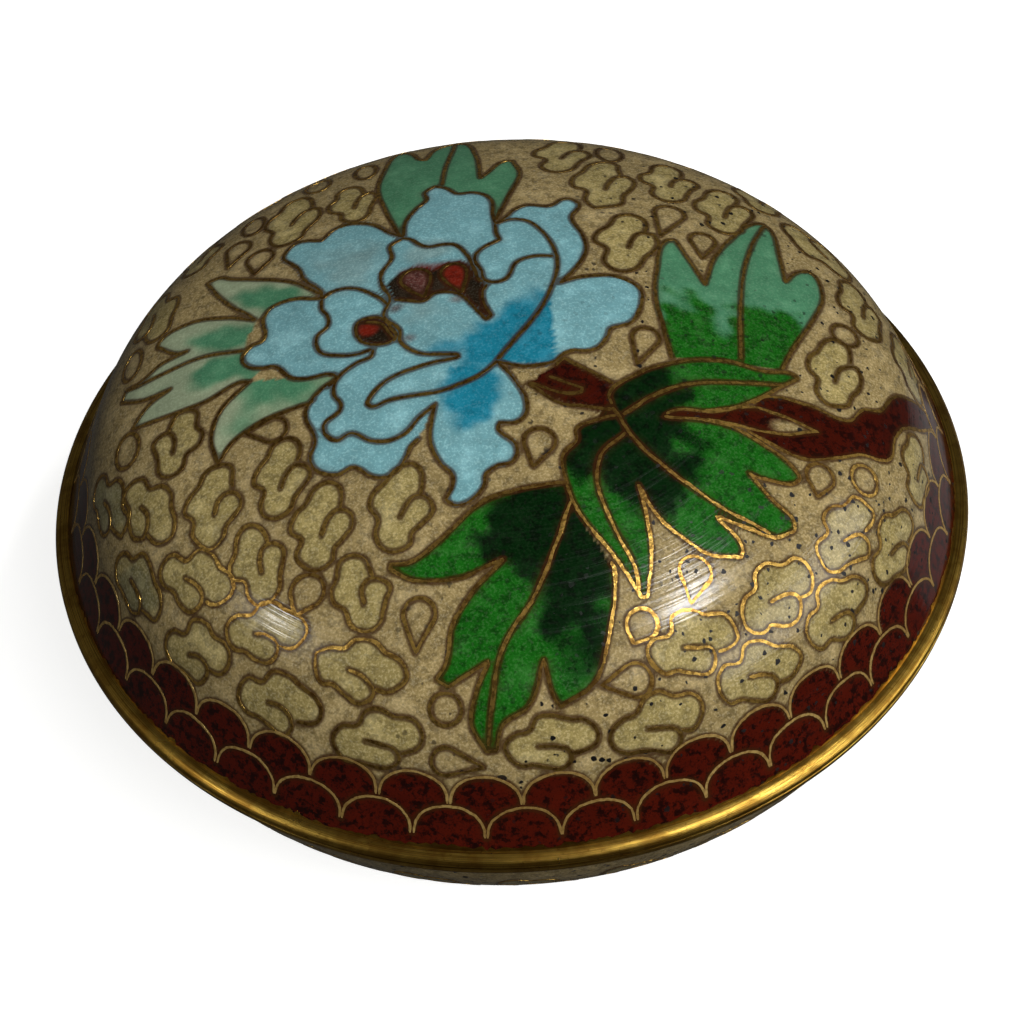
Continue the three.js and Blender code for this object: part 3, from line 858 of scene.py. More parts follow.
class NodeSheet:
    """One material's node tree, with the few kinds of node that the finishes use."""

    def __init__(self, name: str) -> None:
        """Starts a material with a lone shader."""
        self.material = bpy.data.materials.new(name)
        self.material.use_nodes = True
        self.tree = self.material.node_tree
        self.shader = self.tree.nodes["Principled BSDF"]

    def add(self, kind: str, settings: dict | None = None, inputs: dict | None = None) -> bpy.types.Node:
        """Adds a node.

        Args:
            kind: the node's type.
            settings: the node's own settings, set first.
            inputs: a value, Number or socket for each input, by name or place.

        Returns:
            The node.
        """
        node = self.tree.nodes.new(kind)
        for key, value in (settings or {}).items():
            setattr(node, key, value)
        for key, value in (inputs or {}).items():
            self.feed(node.inputs[key], value)
        return node

    def feed(self, socket: bpy.types.NodeSocket, value: object) -> None:
        """Links a socket or a Number to an input, or sets the input's plain value."""
        if isinstance(value, Number):
            self.tree.links.new(value.socket, socket)
        elif isinstance(value, bpy.types.NodeSocket):
            self.tree.links.new(value, socket)
        elif isinstance(value, tuple) and len(value) == 3 and socket.type == "RGBA":
            socket.default_value = (*value, 1.0)
        else:
            socket.default_value = value

    def stored(self, name: str) -> bpy.types.Node:
        """Reads a value that the mesh stores for each vertex."""
        return self.add("ShaderNodeAttribute", {"attribute_name": name})

    def position(self) -> bpy.types.NodeSocket:
        """The point on the piece, in the box's own frame."""
        return self.add("ShaderNodeTexCoord").outputs["Object"]

    def turned_lines(self, along: float, across: float) -> bpy.types.NodeSocket:
        """A point space drawn out along circles about the box's axis: x and y slow, and the radius fast."""
        parts = self.add("ShaderNodeSeparateXYZ", None, {0: self.position()})
        x, y = (Number(self.tree, output) for output in parts.outputs[:2])
        radius = (x * x + y * y).math("SQRT")
        point = {0: x * along, 1: y * along, 2: radius * across}
        return self.add("ShaderNodeCombineXYZ", None, point).outputs[0]

    def noise(self, scale: float, detail: float = 2.0, roughness: float = 0.5,
              vector: bpy.types.NodeSocket | None = None) -> Number:
        """Soft noise, whose grains measure about 1 / scale metres."""
        node = self.add("ShaderNodeTexNoise", None, {
            "Vector": vector or self.position(), "Scale": scale, "Detail": detail, "Roughness": roughness})
        return Number(self.tree, node.outputs["Fac"])

    def shaken(self, scale: float, amount: float) -> bpy.types.NodeSocket:
        """The point on the piece moved by noise, so that what is drawn there comes out ragged."""
        noise = self.add("ShaderNodeTexNoise", None,
                         {"Vector": self.position(), "Scale": scale, "Detail": 1.0})
        shift = self.add("ShaderNodeVectorMath", {"operation": "SCALE"},
                         {0: noise.outputs["Color"], "Scale": amount})
        return self.add("ShaderNodeVectorMath", {"operation": "ADD"},
                        {0: self.position(), 1: shift.outputs[0]}).outputs[0]

    def spots(self, scale: float, size: float, share: float,
              vector: bpy.types.NodeSocket | None = None) -> Number:
        """Round spots in some of the cells of a random pattern.

        Args:
            scale: cells to the metre.
            size: a spot's radius as a share of a cell.
            share: the share of cells that have one.
            vector: the point space, or None for the piece's own.

        Returns:
            1 in a spot and 0 outside.
        """
        node = self.add("ShaderNodeTexVoronoi", None, {"Vector": vector or self.position(), "Scale": scale})
        pick = self.add("ShaderNodeSeparateColor", None, {0: node.outputs["Color"]})
        chosen = Number(self.tree, pick.outputs[0]).math("LESS_THAN", share)
        varied = Number(self.tree, pick.outputs[1]) * size
        distance = Number(self.tree, node.outputs["Distance"])
        return (distance - varied).ramp(size * 0.35, 0.0) * chosen

    def blend(self, share: Number | float, under: object, over: object) -> bpy.types.NodeSocket:
        """Mixes two colours."""
        node = self.add("ShaderNodeMix", {"data_type": "RGBA"}, {0: share, 6: under, 7: over})
        return node.outputs[2]

    def dimmed(self, colour: object, factor: Number | float) -> bpy.types.NodeSocket:
        """A colour made darker or lighter by a factor."""
        node = self.add("ShaderNodeVectorMath", {"operation": "SCALE"}, {0: colour, "Scale": factor})
        return node.outputs[0]

    def surface(self, look: dict[str, object]) -> None:
        """Feeds the shader's inputs by name."""
        for name, value in look.items():
            self.feed(self.shader.inputs[name], value)

    def relief(self, height: Number, distance: float) -> None:
        """Feeds a height, in shares of a distance in metres, to the shader's normal."""
        bump = self.add("ShaderNodeBump", None, {"Height": height, "Distance": distance})
        self.surface({"Normal": bump.outputs[0]})


@dataclass(frozen=True)
class FiredEnamel:
    """Ground and polished glaze: frit grains, brown edges along its wires, pits and polishing scratches.

    The mottle is the least brightness, and what the broad and the cloudy grain add to it.
    Each grain is how many there are to the metre. Pits are given by their cells to the metre, their
    radius as a share of a cell, and the share of cells that have one. Bands of the edge and the haze
    are in millimetres from the middle of the nearest wire.
    """

    stain: Colour = (0.055, 0.016, 0.003)
    pit: Colour = (0.006, 0.005, 0.005)
    frit: Colour = (0.8, 0.79, 0.64)
    fine_grain: float = 5200
    coarse_grain: float = 1500
    cloudy_grain: float = 420
    broad_grain: float = 170
    mottle: tuple[float, float, float] = (0.45, 0.35, 0.75)
    coarse_shade: float = 0.14
    fine_shade: float = 0.35
    frit_light: float = 1.9
    frit_share: float = 0.3
    refraction: float = 1.52
    coarse_dark: Band = (0.47, 0.62, 0.85)
    fine_dark: Band = (0.52, 0.66, 0.6)
    fine_pale: Band = (0.5, 0.36, 0.75)
    cloudy_pale: Band = (0.5, 0.7, 0.45)
    edge: Band = (0.42, 0.2, 0.8)
    haze: Band = (0.95, 0.2, 0.5)
    haze_patches: Band = (0.35, 0.65, 1)
    small_pits: tuple[float, float, float] = (1500, 0.28, 0.42)
    large_pits: tuple[float, float, float] = (320, 0.12, 0.1)
    pit_strength: float = 1.9
    raggedness: tuple[float, float] = (2200, 0.0004)
    scratch_lines: tuple[float, float] = (90, 4300)
    scratch_marks: Band = (0.5, 0.7, 0.12)
    roughness: float = 0.1
    relief: float = 0.00006

    def material(self) -> bpy.types.Material:
        """Builds the finish, which reads the colour and grain stored in the enamel's mesh."""
        sheet = NodeSheet("fired_enamel")
        glaze = sheet.stored("cell_colour").outputs["Color"]
        grain = sheet.add("ShaderNodeSeparateColor", None, {0: sheet.stored("cell_grain").outputs["Color"]})
        dark, pale, pitting = (Number(sheet.tree, output) for output in grain.outputs)
        gap = Number(sheet.tree, sheet.stored("wire_gap").outputs["Fac"])
        fine = sheet.noise(self.fine_grain, 2.0, 0.6)
        coarse = sheet.noise(self.coarse_grain, 3.0, 0.65)
        broad = sheet.noise(self.broad_grain, 2.0)
        cloudy = sheet.noise(self.cloudy_grain, 3.0, 0.6)
        least, by_broad, by_cloudy = self.mottle
        colour = sheet.dimmed(glaze, least + by_broad * broad + by_cloudy * cloudy)
        for grain_dark, shade in ((coarse.band(self.coarse_dark), self.coarse_shade),
                                  (fine.band(self.fine_dark), self.fine_shade)):
            colour = sheet.blend(dark * grain_dark, colour, sheet.dimmed(colour, shade))
        frit = sheet.blend(self.frit_share, sheet.dimmed(colour, self.frit_light), self.frit)
        colour = sheet.blend(pale * fine.band(self.fine_pale), colour, frit)
        colour = sheet.blend(pale * cloudy.band(self.cloudy_pale), colour, frit)
        haze = gap.band(self.haze) * sheet.noise(self.cloudy_grain, 2.0).band(self.haze_patches)
        colour = sheet.blend(haze, colour, sheet.blend(0.5, colour, self.stain))
        colour = sheet.blend(gap.band(self.edge), colour, self.stain)
        ragged = sheet.shaken(*self.raggedness)
        pits = sheet.spots(*self.small_pits, ragged).math("MAXIMUM", sheet.spots(*self.large_pits, ragged))
        pits = (pits * pitting * self.pit_strength).math("MINIMUM", 1.0)
        colour = sheet.blend(pits, colour, self.pit)
        scratch = sheet.noise(1.0, 2.0, 0.6, sheet.turned_lines(*self.scratch_lines))
        roughness = self.roughness + 0.08 * coarse + scratch.band(self.scratch_marks) + 0.3 * pits
        sheet.surface({"Base Color": colour, "Roughness": roughness, "IOR": self.refraction})
        sheet.relief(0.25 * broad + 0.35 * scratch, self.relief)
        return sheet.material


@dataclass(frozen=True)
class CloisonWire:
    """Gilt copper wire, polished flush and tarnished brown in patches."""

    name: str = "cloison_wire"
    gilt: Colour = (0.9, 0.56, 0.13)
    tarnish: Colour = (0.12, 0.036, 0.005)
    worn: Band = (0.4, 0.64, 0.7)
    patchy: Band = (0.42, 0.6, 0.5)
    roughness: float = 0.26
    metallic: float = 0.92
    relief: float = 0.00004

    def material(self) -> bpy.types.Material:
        """Builds the finish."""
        sheet = NodeSheet(self.name)
        worn = sheet.noise(2600, 3.0, 0.6)
        patchy = sheet.noise(90, 2.0)
        colour = sheet.blend(worn.band(self.worn), self.gilt, self.tarnish)
        colour = sheet.blend(patchy.band(self.patchy), colour, self.tarnish)
        roughness = self.roughness + 0.15 * worn
        sheet.surface({"Base Color": colour, "Roughness": roughness, "Metallic": self.metallic})
        sheet.relief(worn, self.relief)
        return sheet.material


@dataclass(frozen=True)
class TurnedBrass:
    """Gilt brass that was turned and rubbed: fine lines round it, and brown in patches, lines and flecks.
    """

    gilt: Colour = (0.84, 0.54, 0.1)
    brown: Colour = (0.24, 0.1, 0.01)
    patches: Band = (0.4, 0.62, 0.6)
    lines: Band = (0.42, 0.62, 0.8)
    flecks: Band = (0.6, 0.7, 0.5)
    lines_around: float = 60
    lines_across: float = 14
    roughness: float = 0.22
    relief: float = 0.00002

    def material(self) -> bpy.types.Material:
        """Builds the finish, whose lines follow the length stored round the section."""
        sheet = NodeSheet("turned_brass")
        run = Number(sheet.tree, sheet.stored("section_run").outputs["Fac"])
        parts = sheet.add("ShaderNodeSeparateXYZ", None, {0: sheet.position()})
        x, y = (Number(sheet.tree, output) * self.lines_around for output in parts.outputs[:2])
        around = sheet.add("ShaderNodeCombineXYZ", None, {0: x, 1: y, 2: run * self.lines_across})
        lines = sheet.noise(1.0, 3.0, 0.7, around.outputs[0])
        patches = sheet.noise(380, 3.0, 0.6)
        flecks = sheet.noise(2600, 2.0, 0.6)
        colour = sheet.blend(patches.band(self.patches), self.gilt, self.brown)
        colour = sheet.blend(lines.band(self.lines), colour, self.brown)
        colour = sheet.blend(flecks.band(self.flecks), colour, self.brown)
        roughness = self.roughness + 0.16 * patches
        sheet.surface({"Base Color": colour, "Roughness": roughness, "Metallic": 1.0})
        sheet.relief(lines + 0.25 * flecks, self.relief)
        return sheet.material


@dataclass(frozen=True)
class CounterEnamel:
    """The thin sky-blue enamel inside the box and under it: fired, unpolished and a little uneven."""

    blue: Colour = (0.1, 0.34, 0.46)
    deep: Colour = (0.035, 0.17, 0.28)
    burn: Colour = (0.03, 0.03, 0.03)
    clouded: Band = (0.4, 0.65, 1)
    grain: Band = (0.6, 0.7, 0.35)
    specks: tuple[float, float, float] = (260, 0.12, 0.3)
    roughness: float = 0.28
    relief: float = 0.00012

    def material(self) -> bpy.types.Material:
        """Builds the finish."""
        sheet = NodeSheet("counter_enamel")
        clouded = sheet.noise(140, 4.0, 0.6)
        fine = sheet.noise(2600, 2.0)
        specks = sheet.spots(*self.specks)
        colour = sheet.blend(clouded.band(self.clouded), self.blue, self.deep)
        colour = sheet.blend(fine.band(self.grain), colour, self.deep)
        colour = sheet.blend(specks, colour, self.burn)
        sheet.surface({"Base Color": colour, "Roughness": self.roughness + 0.2 * clouded})
        sheet.relief(clouded + 0.1 * fine - 0.5 * specks, self.relief)
        return sheet.material


@dataclass(frozen=True)
class Workshop:
    """The materials that every sub-assembly shares."""

    enamel: bpy.types.Material
    wire: bpy.types.Material
    bright_wire: bpy.types.Material
    brass: bpy.types.Material
    counter_enamel: bpy.types.Material

    def finish(self, piece: bpy.types.Object, material: bpy.types.Material, slot: str, *nodes: str) -> None:
        """Dresses a piece, hangs it on the box's body and hides the solids it stands for."""
        piece.data.materials.append(material)
        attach(piece, "root")
        if nodes:
            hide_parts(*nodes)
        log.info("%s: %d faces", piece.name, len(piece.data.polygons))


def joined(*paths: tuple) -> Path:
    """Bends several lines and runs them end to end into one outline."""
    return np.vstack([smooth_path(path) for path in paths])


class SprayDrawing:
    """The peony spray: which wires there are, and which glaze goes where."""

    def __init__(self) -> None:
        """Works out every outline once."""
        self.flower = joined(*PEONY_EDGES)
        self.back_leaf = smooth_path(LEAF_BACK)
        self.left_leaves = (
            smooth_path(LEAF_LEFT_TOP), smooth_path(LEAF_LEFT_UPPER), np.array(LEAF_LEFT_LOWER_CELL),
            smooth_path(LEAF_LEFT_FRONT),
        )
        self.left_lower_leaf = np.vstack(
            (smooth_path(LEAF_LEFT_UPPER[-4:]), smooth_path(LEAF_LEFT_LOWER)[::-1])
        )
        self.right_leaf = smooth_path(LEAF_RIGHT)
        self.side_leaf = smooth_path(LEAF_SIDE)
        self.front_leaf = smooth_path(LEAF_FRONT)
        self.low_leaf = joined(LEAF_LOW, LEAF_LOW_SIDE)
        self.branches = (
            joined(BRANCH_RIGHT_TOP, BRANCH_RIGHT_LOW), joined(BRANCH_LEFT_TOP, BRANCH_LEFT_LOW),
        )

    def peony_wires(self) -> list[Path]:
        """The wires of the flower and its heart."""
        folds = (*PEONY_FOLDS, STAMEN_RIGHT, STAMEN_LEFT, STAMEN_LOW, STAMEN_LOW_FOLD)
        return [smooth_path(path) for path in (*PEONY_EDGES, *folds)]

    def leaf_wires(self) -> list[Path]:
        """The wires of the leaves and the branch, cut where a later cell covers them."""
        behind_flower = (LEAF_BACK, LEAF_BACK_VEIN, LEAF_LEFT_TOP, LEAF_LEFT_UPPER, LEAF_LEFT_LOWER,
                         LEAF_LEFT_FRONT)
        behind_leaves = (LEAF_RIGHT, LEAF_RIGHT_VEIN, BRANCH_RIGHT_TOP, BRANCH_RIGHT_LOW, BRANCH_KNOT,
                         BRANCH_LEFT_TOP, BRANCH_LEFT_LOW, BRANCH_TWIG)
        in_front = (LEAF_SIDE, LEAF_SIDE_VEIN, LEAF_FRONT, *LEAF_FRONT_VEINS, LEAF_LOW, LEAF_LOW_VEIN)
        covers = [self.flower, self.side_leaf, self.front_leaf, self.low_leaf]
        wires = []
        for path in behind_flower:
            wires += uncovered(smooth_path(path), covers[:1])
        for path in behind_leaves:
            wires += uncovered(smooth_path(path), covers)
        return wires + [smooth_path(path) for path in in_front]

    def covers(self) -> list[Path]:
        """Every outline that hides the ground pattern."""
        return [self.flower, self.back_leaf, *self.left_leaves, self.left_lower_leaf, self.right_leaf,
                self.side_leaf, self.front_leaf, self.low_leaf, *self.branches]

    def paint(self, cells: PaintedCells) -> None:
        """Lays the glazes of the spray, back to front."""
        self.paint_back_leaves(cells)
        self.paint_branch(cells)
        self.paint_front_leaves(cells)
        self.paint_peony(cells)

    def paint_back_leaves(self, cells: PaintedCells) -> None:
        """The mint leaf behind, the pale leaves on the left and the leaf on the right."""
        cells.fill(Glaze.MINT, self.back_leaf)
        left = np.any([cells.fill(Glaze.LEAF_PALE, outline) for outline in self.left_leaves], axis=0)
        cells.shade(left, *LEFT_LEAF_WASHES)
        cells.shade(cells.fill(Glaze.MINT, self.right_leaf), *RIGHT_LEAF_WASHES)

    def paint_branch(self, cells: PaintedCells) -> None:
        """The brown branch, with bare ground in its knot."""
        for outline in self.branches:
            cells.fill(Glaze.BARK, outline)
        cells.shade(cells.fill(Glaze.BARK, smooth_path(BRANCH_KNOT)), KNOT_WASH)

    def paint_front_leaves(self, cells: PaintedCells) -> None:
        """The three leaves in front, dark where they spring from the stem."""
        cells.fill(Glaze.BARK, np.array(FORK_BARK))
        cells.fill(Glaze.LEAF_DARK, np.array(FORK_DARK))
        side = cells.fill(Glaze.LEAF_BRIGHT, self.side_leaf)
        low = cells.fill(Glaze.LEAF_BRIGHT, self.low_leaf)
        front = cells.fill(Glaze.LEAF_BRIGHT, self.front_leaf)
        cells.shade(side, SIDE_LEAF_WASH)
        cells.shade(front, *FRONT_LEAF_WASHES)
        cells.shade(low, *LOW_LEAF_WASHES)

    def paint_peony(self, cells: PaintedCells) -> None:
        """The pale petals with deep blue where they fold, and the dark heart with its red stamens."""
        petals = cells.fill(Glaze.PETAL, self.flower)
        cells.shade(petals, *GREY_PETAL_WASHES)
        cells.shade(petals & ~inside(cells.points, np.array(MIDDLE_KEPT_PALE)), *MIDDLE_WASHES)
        cells.shade(petals & inside(cells.points, np.array(FOLD_CELL)), FOLD_WASH)
        cells.shade(petals & (cells.points[:, 1] < LOW_PETAL_TOP), LOW_PETAL_WASH)
        pocket = cells.fill(Glaze.POCKET, smooth_path((*HEART_POCKET, HEART_POCKET[0])))
        cells.shade(petals, HEART_WASH)
        cells.shade(petals & ~pocket, *BLUSH_WASHES)
        cells.shade(petals, LOW_BLUSH_WASH)
        cells.fill(Glaze.STAMEN, smooth_path(STAMEN_RIGHT))
        cells.fill(Glaze.STAMEN_PINK, smooth_path(STAMEN_LEFT))
        cells.shade(cells.fill(Glaze.POCKET, smooth_path(STAMEN_LOW)), LOW_STAMEN_WASH)


@dataclass(frozen=True)
class ScaleBorder:
    """Two rows of overlapping fish scales round the rim, in plane lengths from the crown."""

    count: int = 41
    first_foot: float = -86.67
    low_foot: float = 43.5
    low_top: float = 41.0
    high_foot: float = 40.7
    high_top: float = 38.3
    fullness: float = 0.97
    roundness: float = 0.8
    unevenness: float = 0.12
    step: float = 0.22

    @property
    def pitch(self) -> float:
        """One scale's width, in degrees."""
        return 360 / self.count

    def arch(self, middle: float, foot: float, top: float) -> Path:
        """One scale's wire: half an oval over its pitch, standing on its two feet."""
        turn = np.linspace(0, math.pi, 19)
        azimuth = np.radians(middle - self.pitch / 2 * self.fullness * np.cos(turn))
        run = foot - (foot - top) * np.sin(turn) ** self.roundness
        return evenly_spaced(turned(run, azimuth), self.step)

    def wires(self, jitter: np.random.Generator) -> list[Path]:
        """The wires of both rows."""
        wires = []
        for number in range(self.count):
            foot = self.first_foot + number * self.pitch
            low, high = jitter.uniform(-self.unevenness, self.unevenness, 2)
            wires.append(self.arch(foot + self.pitch / 2, self.low_foot, self.low_top + low))
            wires.append(self.arch(foot, self.high_foot, self.high_top + high))
        return wires

    def paint(self, cells: PaintedCells) -> None:
        """Fills everything outside the upper row's arches with the scales' red."""
        run = np.hypot(*cells.points.T)
        azimuth = np.degrees(np.arctan2(cells.points[:, 1], cells.points[:, 0]))
        offset = (azimuth - self.first_foot + self.pitch / 2) % self.pitch - self.pitch / 2
        across = np.clip(np.abs(offset) / (self.pitch / 2 * self.fullness), 0, 1)
        edge = self.high_foot - (self.high_foot - self.high_top) * (1 - across**2) ** (self.roundness / 2)
        cells.lay(Glaze.SCALE, run > edge)


@dataclass(frozen=True)
class CloudGround:
    """The scrolled clouds, drops and rings of the cream ground.

    Behind the spray, clouds of one size fill rings round the crown wherever there is room for them.
    """

    fill_runs: tuple[float, ...] = (34.2, 28.4, 22.6)
    fill_pitch: float = 6.9
    half_length: float = 3.6
    half_width: float = 2.4
    lean: float = 75.0
    lean_spread: float = 15.0
    clearance: float = 2.5
    full_room: float = 3.4
    border_reach: float = 1.2

    def build(self, covers: list[Path], limit: float,
              jitter: np.random.Generator) -> tuple[list[Path], list[Path]]:
        """Draws the ground pattern.

        Args:
            covers: outlines of the spray.
            limit: the plane length at which the border starts.
            jitter: random source.

        Returns:
            The wires and the outlines that the cloud glaze fills.
        """
        clouds = [cloud_paths(*cloud, jitter) for cloud in CLOUDS]
        cells = [drop_path(*drop) for drop in DROPS] + [ring_path(*ring) for ring in RINGS]
        occupied = np.vstack([cloud[0] for cloud in clouds] + cells + covers)
        for run in self.fill_runs:
            for azimuth in np.arange(0, 360, math.degrees(self.fill_pitch / run)):
                x, y = turned(run, math.radians(azimuth))
                room = np.hypot(*(occupied - (x, y)).T).min()
                if room < self.clearance or any(inside(np.array(((x, y),)), cover)[0] for cover in covers):
                    continue
                size = min(1.0, room / self.full_room)
                turn = azimuth + self.lean + jitter.uniform(-self.lean_spread, self.lean_spread)
                length, width = self.half_length * size, self.half_width * size
                clouds.append(cloud_paths(x, y, length, width, turn, jitter))
                occupied = np.vstack((occupied, clouds[-1][0]))
        wires = [cloud[0] for cloud in clouds] + cells
        kept = [piece for wire in wires for piece in uncovered(wire, covers)]
        kept = [piece for piece in kept if np.hypot(*piece.T).max() < limit + self.border_reach]
        return kept, [cloud[1] for cloud in clouds]


@dataclass(kw_only=True)
class EnamelledHalf:
    """What the lid and the bowl share: one turned curve, with copper inside it and enamel over it."""

    rim_radius: float
    rim_plane: float
    rim_height: float
    wall_height: float
    wall_lean: float
    shoulder_radius: float
    crown_slope: float
    upright: bool = True
    rim_ledge: float = 1.1
    joint_gap: float = 0.02
    enamel_thickness: float = 0.9
    wall_thickness: float = 2.0
    enamel_sink: float = 0.03
    enamel_crease: float = 50
    bead_steps: int = 12
    shell_rows: int = 60
    shell_columns: int = 192
    columns: int = 720
    underside_grain: tuple[float, float, float] = (0.3, 0.3, 0.5)
    gauge: WireGauge = WireGauge()

    def __post_init__(self) -> None:
        """Works out the outer curve from the rim."""
        self.form = TurnedForm(self.rim_radius - self.rim_ledge, self.rim_height, self.wall_height,
                               self.wall_lean, self.shoulder_radius, self.crown_slope)
        self.skin = UnrolledSkin(self.form, self.rim_plane, self.upright)

    def layer(self, runs: np.ndarray, inset: float) -> np.ndarray:
        """The radius and height of one layer in the box's frame, at lengths along the curve."""
        radius, height, _ = self.form.section(runs, inset)
        return np.column_stack((radius, self.rim_plane + (height if self.upright else -height)))

    def shell(self, name: str) -> bpy.types.Object:
        """The copper sheet with its blue counter-enamel: two layers joined at the rim."""
        runs = np.linspace(0, self.form.full_run, self.shell_rows)
        outer = self.layer(runs, self.enamel_thickness + self.joint_gap)
        inner = self.layer(runs, self.wall_thickness)
        lower, upper = (inner, outer) if self.upright else (outer, inner)
        return turned_piece(name, np.vstack((lower, upper[::-1])), self.shell_columns)

    def store_glazes(self, piece: bpy.types.Object, cells: PaintedCells, wires: list[Path]) -> None:
        """Stores painted cells in an enamel skin, whose first vertices are theirs; the rest stays bare."""
        under = len(piece.data.vertices) - len(cells.points)
        bare = Glaze.GROUND.value.colour
        store(piece, "cell_colour", np.vstack((cells.colour, np.tile(bare, (under, 1)))))
        store(piece, "cell_grain", np.vstack((cells.grain, np.tile(self.underside_grain, (under, 1)))))
        store(piece, "wire_gap", np.concatenate((wire_gaps(cells.points, wires), np.full(under, 1.0))))


@dataclass(kw_only=True)
class LidAssembly(EnamelledHalf):
    """The domed lid: its decorated enamel, flush wires, brass rim and blue inside.

    The pitting fades from its pitted side to its clean side, by the distance x - pitted_lean * y. The
    rim laps onto the enamel in waves, each given by how many there are and how high they rise.
    """

    rim_height: float = 0.7
    wall_height: float = 6.2
    wall_lean: float = 24.6
    shoulder_radius: float = 13.4
    crown_slope: float = 23.4
    grid: int = 281
    underside_rings: int = 9
    pole_share: float = 0.12
    scale_gauge: WireGauge = WireGauge(width=0.26, unevenness=0.1)
    grey_wash: tuple[float, ...] = (4, 4, 0, 0.6, 0.8)
    pitted_lean: float = 0.3
    pitted_from: tuple[float, float] = (-5, 25)
    pitted_share: tuple[float, float] = (0.15, 1)
    lower_bevel: float = 0.06
    lap: float = 0.3
    lap_waves: tuple[tuple[int, float], ...] = ((220, 0.16), (30, 0.1))
    lap_inward: float = 0.4

    def build(self, shop: Workshop) -> None:
        """Builds and dresses every piece of the lid."""
        jitter = np.random.default_rng(SEED)
        spray, border = SprayDrawing(), ScaleBorder()
        cloud_wires, clouds = CloudGround().build(spray.covers(), border.high_top, jitter)
        groups = (
            ("lid_cloud_wires", cloud_wires, self.gauge, shop.wire),
            ("lid_peony_wires", spray.peony_wires(), self.gauge, shop.wire),
            ("lid_leaf_wires", spray.leaf_wires(), self.gauge, shop.wire),
            ("lid_scale_wires", border.wires(jitter), self.scale_gauge, shop.bright_wire),
        )
        for seed, (name, paths, gauge, wire) in enumerate(groups):
            shop.finish(gauge.bend(name, self.skin, paths, seed), wire, "gilt_brass")
        skin, top = self.enamel_skin()
        self.store_glazes(skin, self.painted(top, clouds, spray, border),
                          [path for group in groups for path in group[1]])
        shop.finish(skin, shop.enamel, "outer_enamel", "lid_enamel")
        shop.finish(self.rim(), shop.brass, "gilt_brass", "lid_rim")
        shop.finish(self.shell("lid_counter_enamel"), shop.counter_enamel, "inner_enamel", "lid_shell")

    def painted(self, points: Path, clouds: list[Path], spray: SprayDrawing,
                border: ScaleBorder) -> PaintedCells:
        """Lays every glaze of the lid: clouds first, then the scales and the spray over them."""
        cells = PaintedCells(points)
        for outline in clouds:
            cells.fill(Glaze.CLOUD, outline)
        for number in GREY_CLOUDS:
            wash = Wash(Glaze.CLOUD_GREY, *clouds[number].mean(0), *self.grey_wash)
            cells.shade(inside(points, clouds[number]), wash)
        border.paint(cells)
        spray.paint(cells)
        side = points[:, 0] - self.pitted_lean * points[:, 1]
        cells.grain[:, 2] *= np.interp(side, self.pitted_from, self.pitted_share)
        return cells

    def enamel_skin(self) -> tuple[bpy.types.Object, Path]:
        """The enamel as one closed skin.

        The top is a square grid drawn out to a disc: a square ring of half side r becomes the circle of
        radius r, its corner at 45 degrees. The underside is rings on the inner curve, down to a pole.

        Returns:
            The object, and the plane points of its top, which are its first vertices.
        """
        side = np.linspace(-1, 1, self.grid)
        u, v = np.meshgrid(side, side)
        wide = np.abs(u) > np.abs(v)
        radius = np.where(wide, u, v)
        ratio = np.where(wide, v, u) / np.where(radius == 0, 1, radius)
        angle = np.where(wide, math.pi / 4 * ratio, math.pi / 2 - math.pi / 4 * ratio)
        disc = np.stack((radius * np.cos(angle), radius * np.sin(angle)), -1)
        top = disc.reshape(-1, 2) * self.form.full_run
        last = self.grid - 1
        row, column = np.meshgrid(np.arange(last), np.arange(last), indexing="ij")
        corner = row * self.grid + column
        squares = np.stack((corner, corner + 1, corner + self.grid + 1, corner + self.grid), -1)
        faces = [squares.reshape(-1, 4)]
        ahead = np.arange(last)
        rim = np.concatenate((ahead, ahead * self.grid + last, last * self.grid + last - ahead,
                              (last - ahead) * self.grid))
        shares = np.linspace(1, self.pole_share, self.underside_rings)
        below = np.vstack([top[rim] * share for share in shares])
        vertices = np.vstack((
            self.skin.place(top, self.enamel_sink),
            self.skin.place(below, self.enamel_thickness),
            self.skin.place(np.zeros((1, 2)), self.enamel_thickness),
        ))
        count = len(rim)
        rings = [rim] + [len(top) + number * count + np.arange(count) for number in range(len(shares))]
        for upper, lower in zip(rings, rings[1:]):
            faces.append(np.column_stack((lower, np.roll(lower, -1), np.roll(upper, -1), upper)))
        pole = np.full(count, len(vertices) - 1)
        faces.append(np.column_stack((pole, np.roll(rings[-1], -1), rings[-1])))
        return new_piece("lid_enamel_skin", vertices, faces, self.enamel_crease), top

    def rim(self) -> bpy.types.Object:
        """The lid's rim: a flat ring with a rounded edge, which laps raggedly onto the enamel."""
        top = self.rim_height - self.joint_gap
        bore = float(self.form.section(np.array([self.form.full_run]), self.wall_thickness)[0][0])
        bead = quarter_bead(self.rim_radius, self.rim_ledge, self.lower_bevel, top, self.bead_steps)
        lap = ((self.form.edge_radius - self.joint_gap, top + self.joint_gap),
               (self.form.edge_radius - self.lap, top))
        under = ((bore, 0), (self.rim_radius - self.lower_bevel, 0))
        section = np.vstack((under, bead, lap, ((bore, top),)))
        ragged = sum(np.abs(ring_noise(self.columns, waves, height, seed))
                     for seed, (waves, height) in enumerate(self.lap_waves, SEED + 1))
        ripple = np.zeros((len(section), self.columns, 2))
        ripple[-3, :, 0] = -self.lap_inward * ragged
        ripple[-3, :, 1] = ragged
        section[:, 1] += self.rim_plane
        return turned_piece("lid_brass_rim", section, self.columns, ripple=ripple)


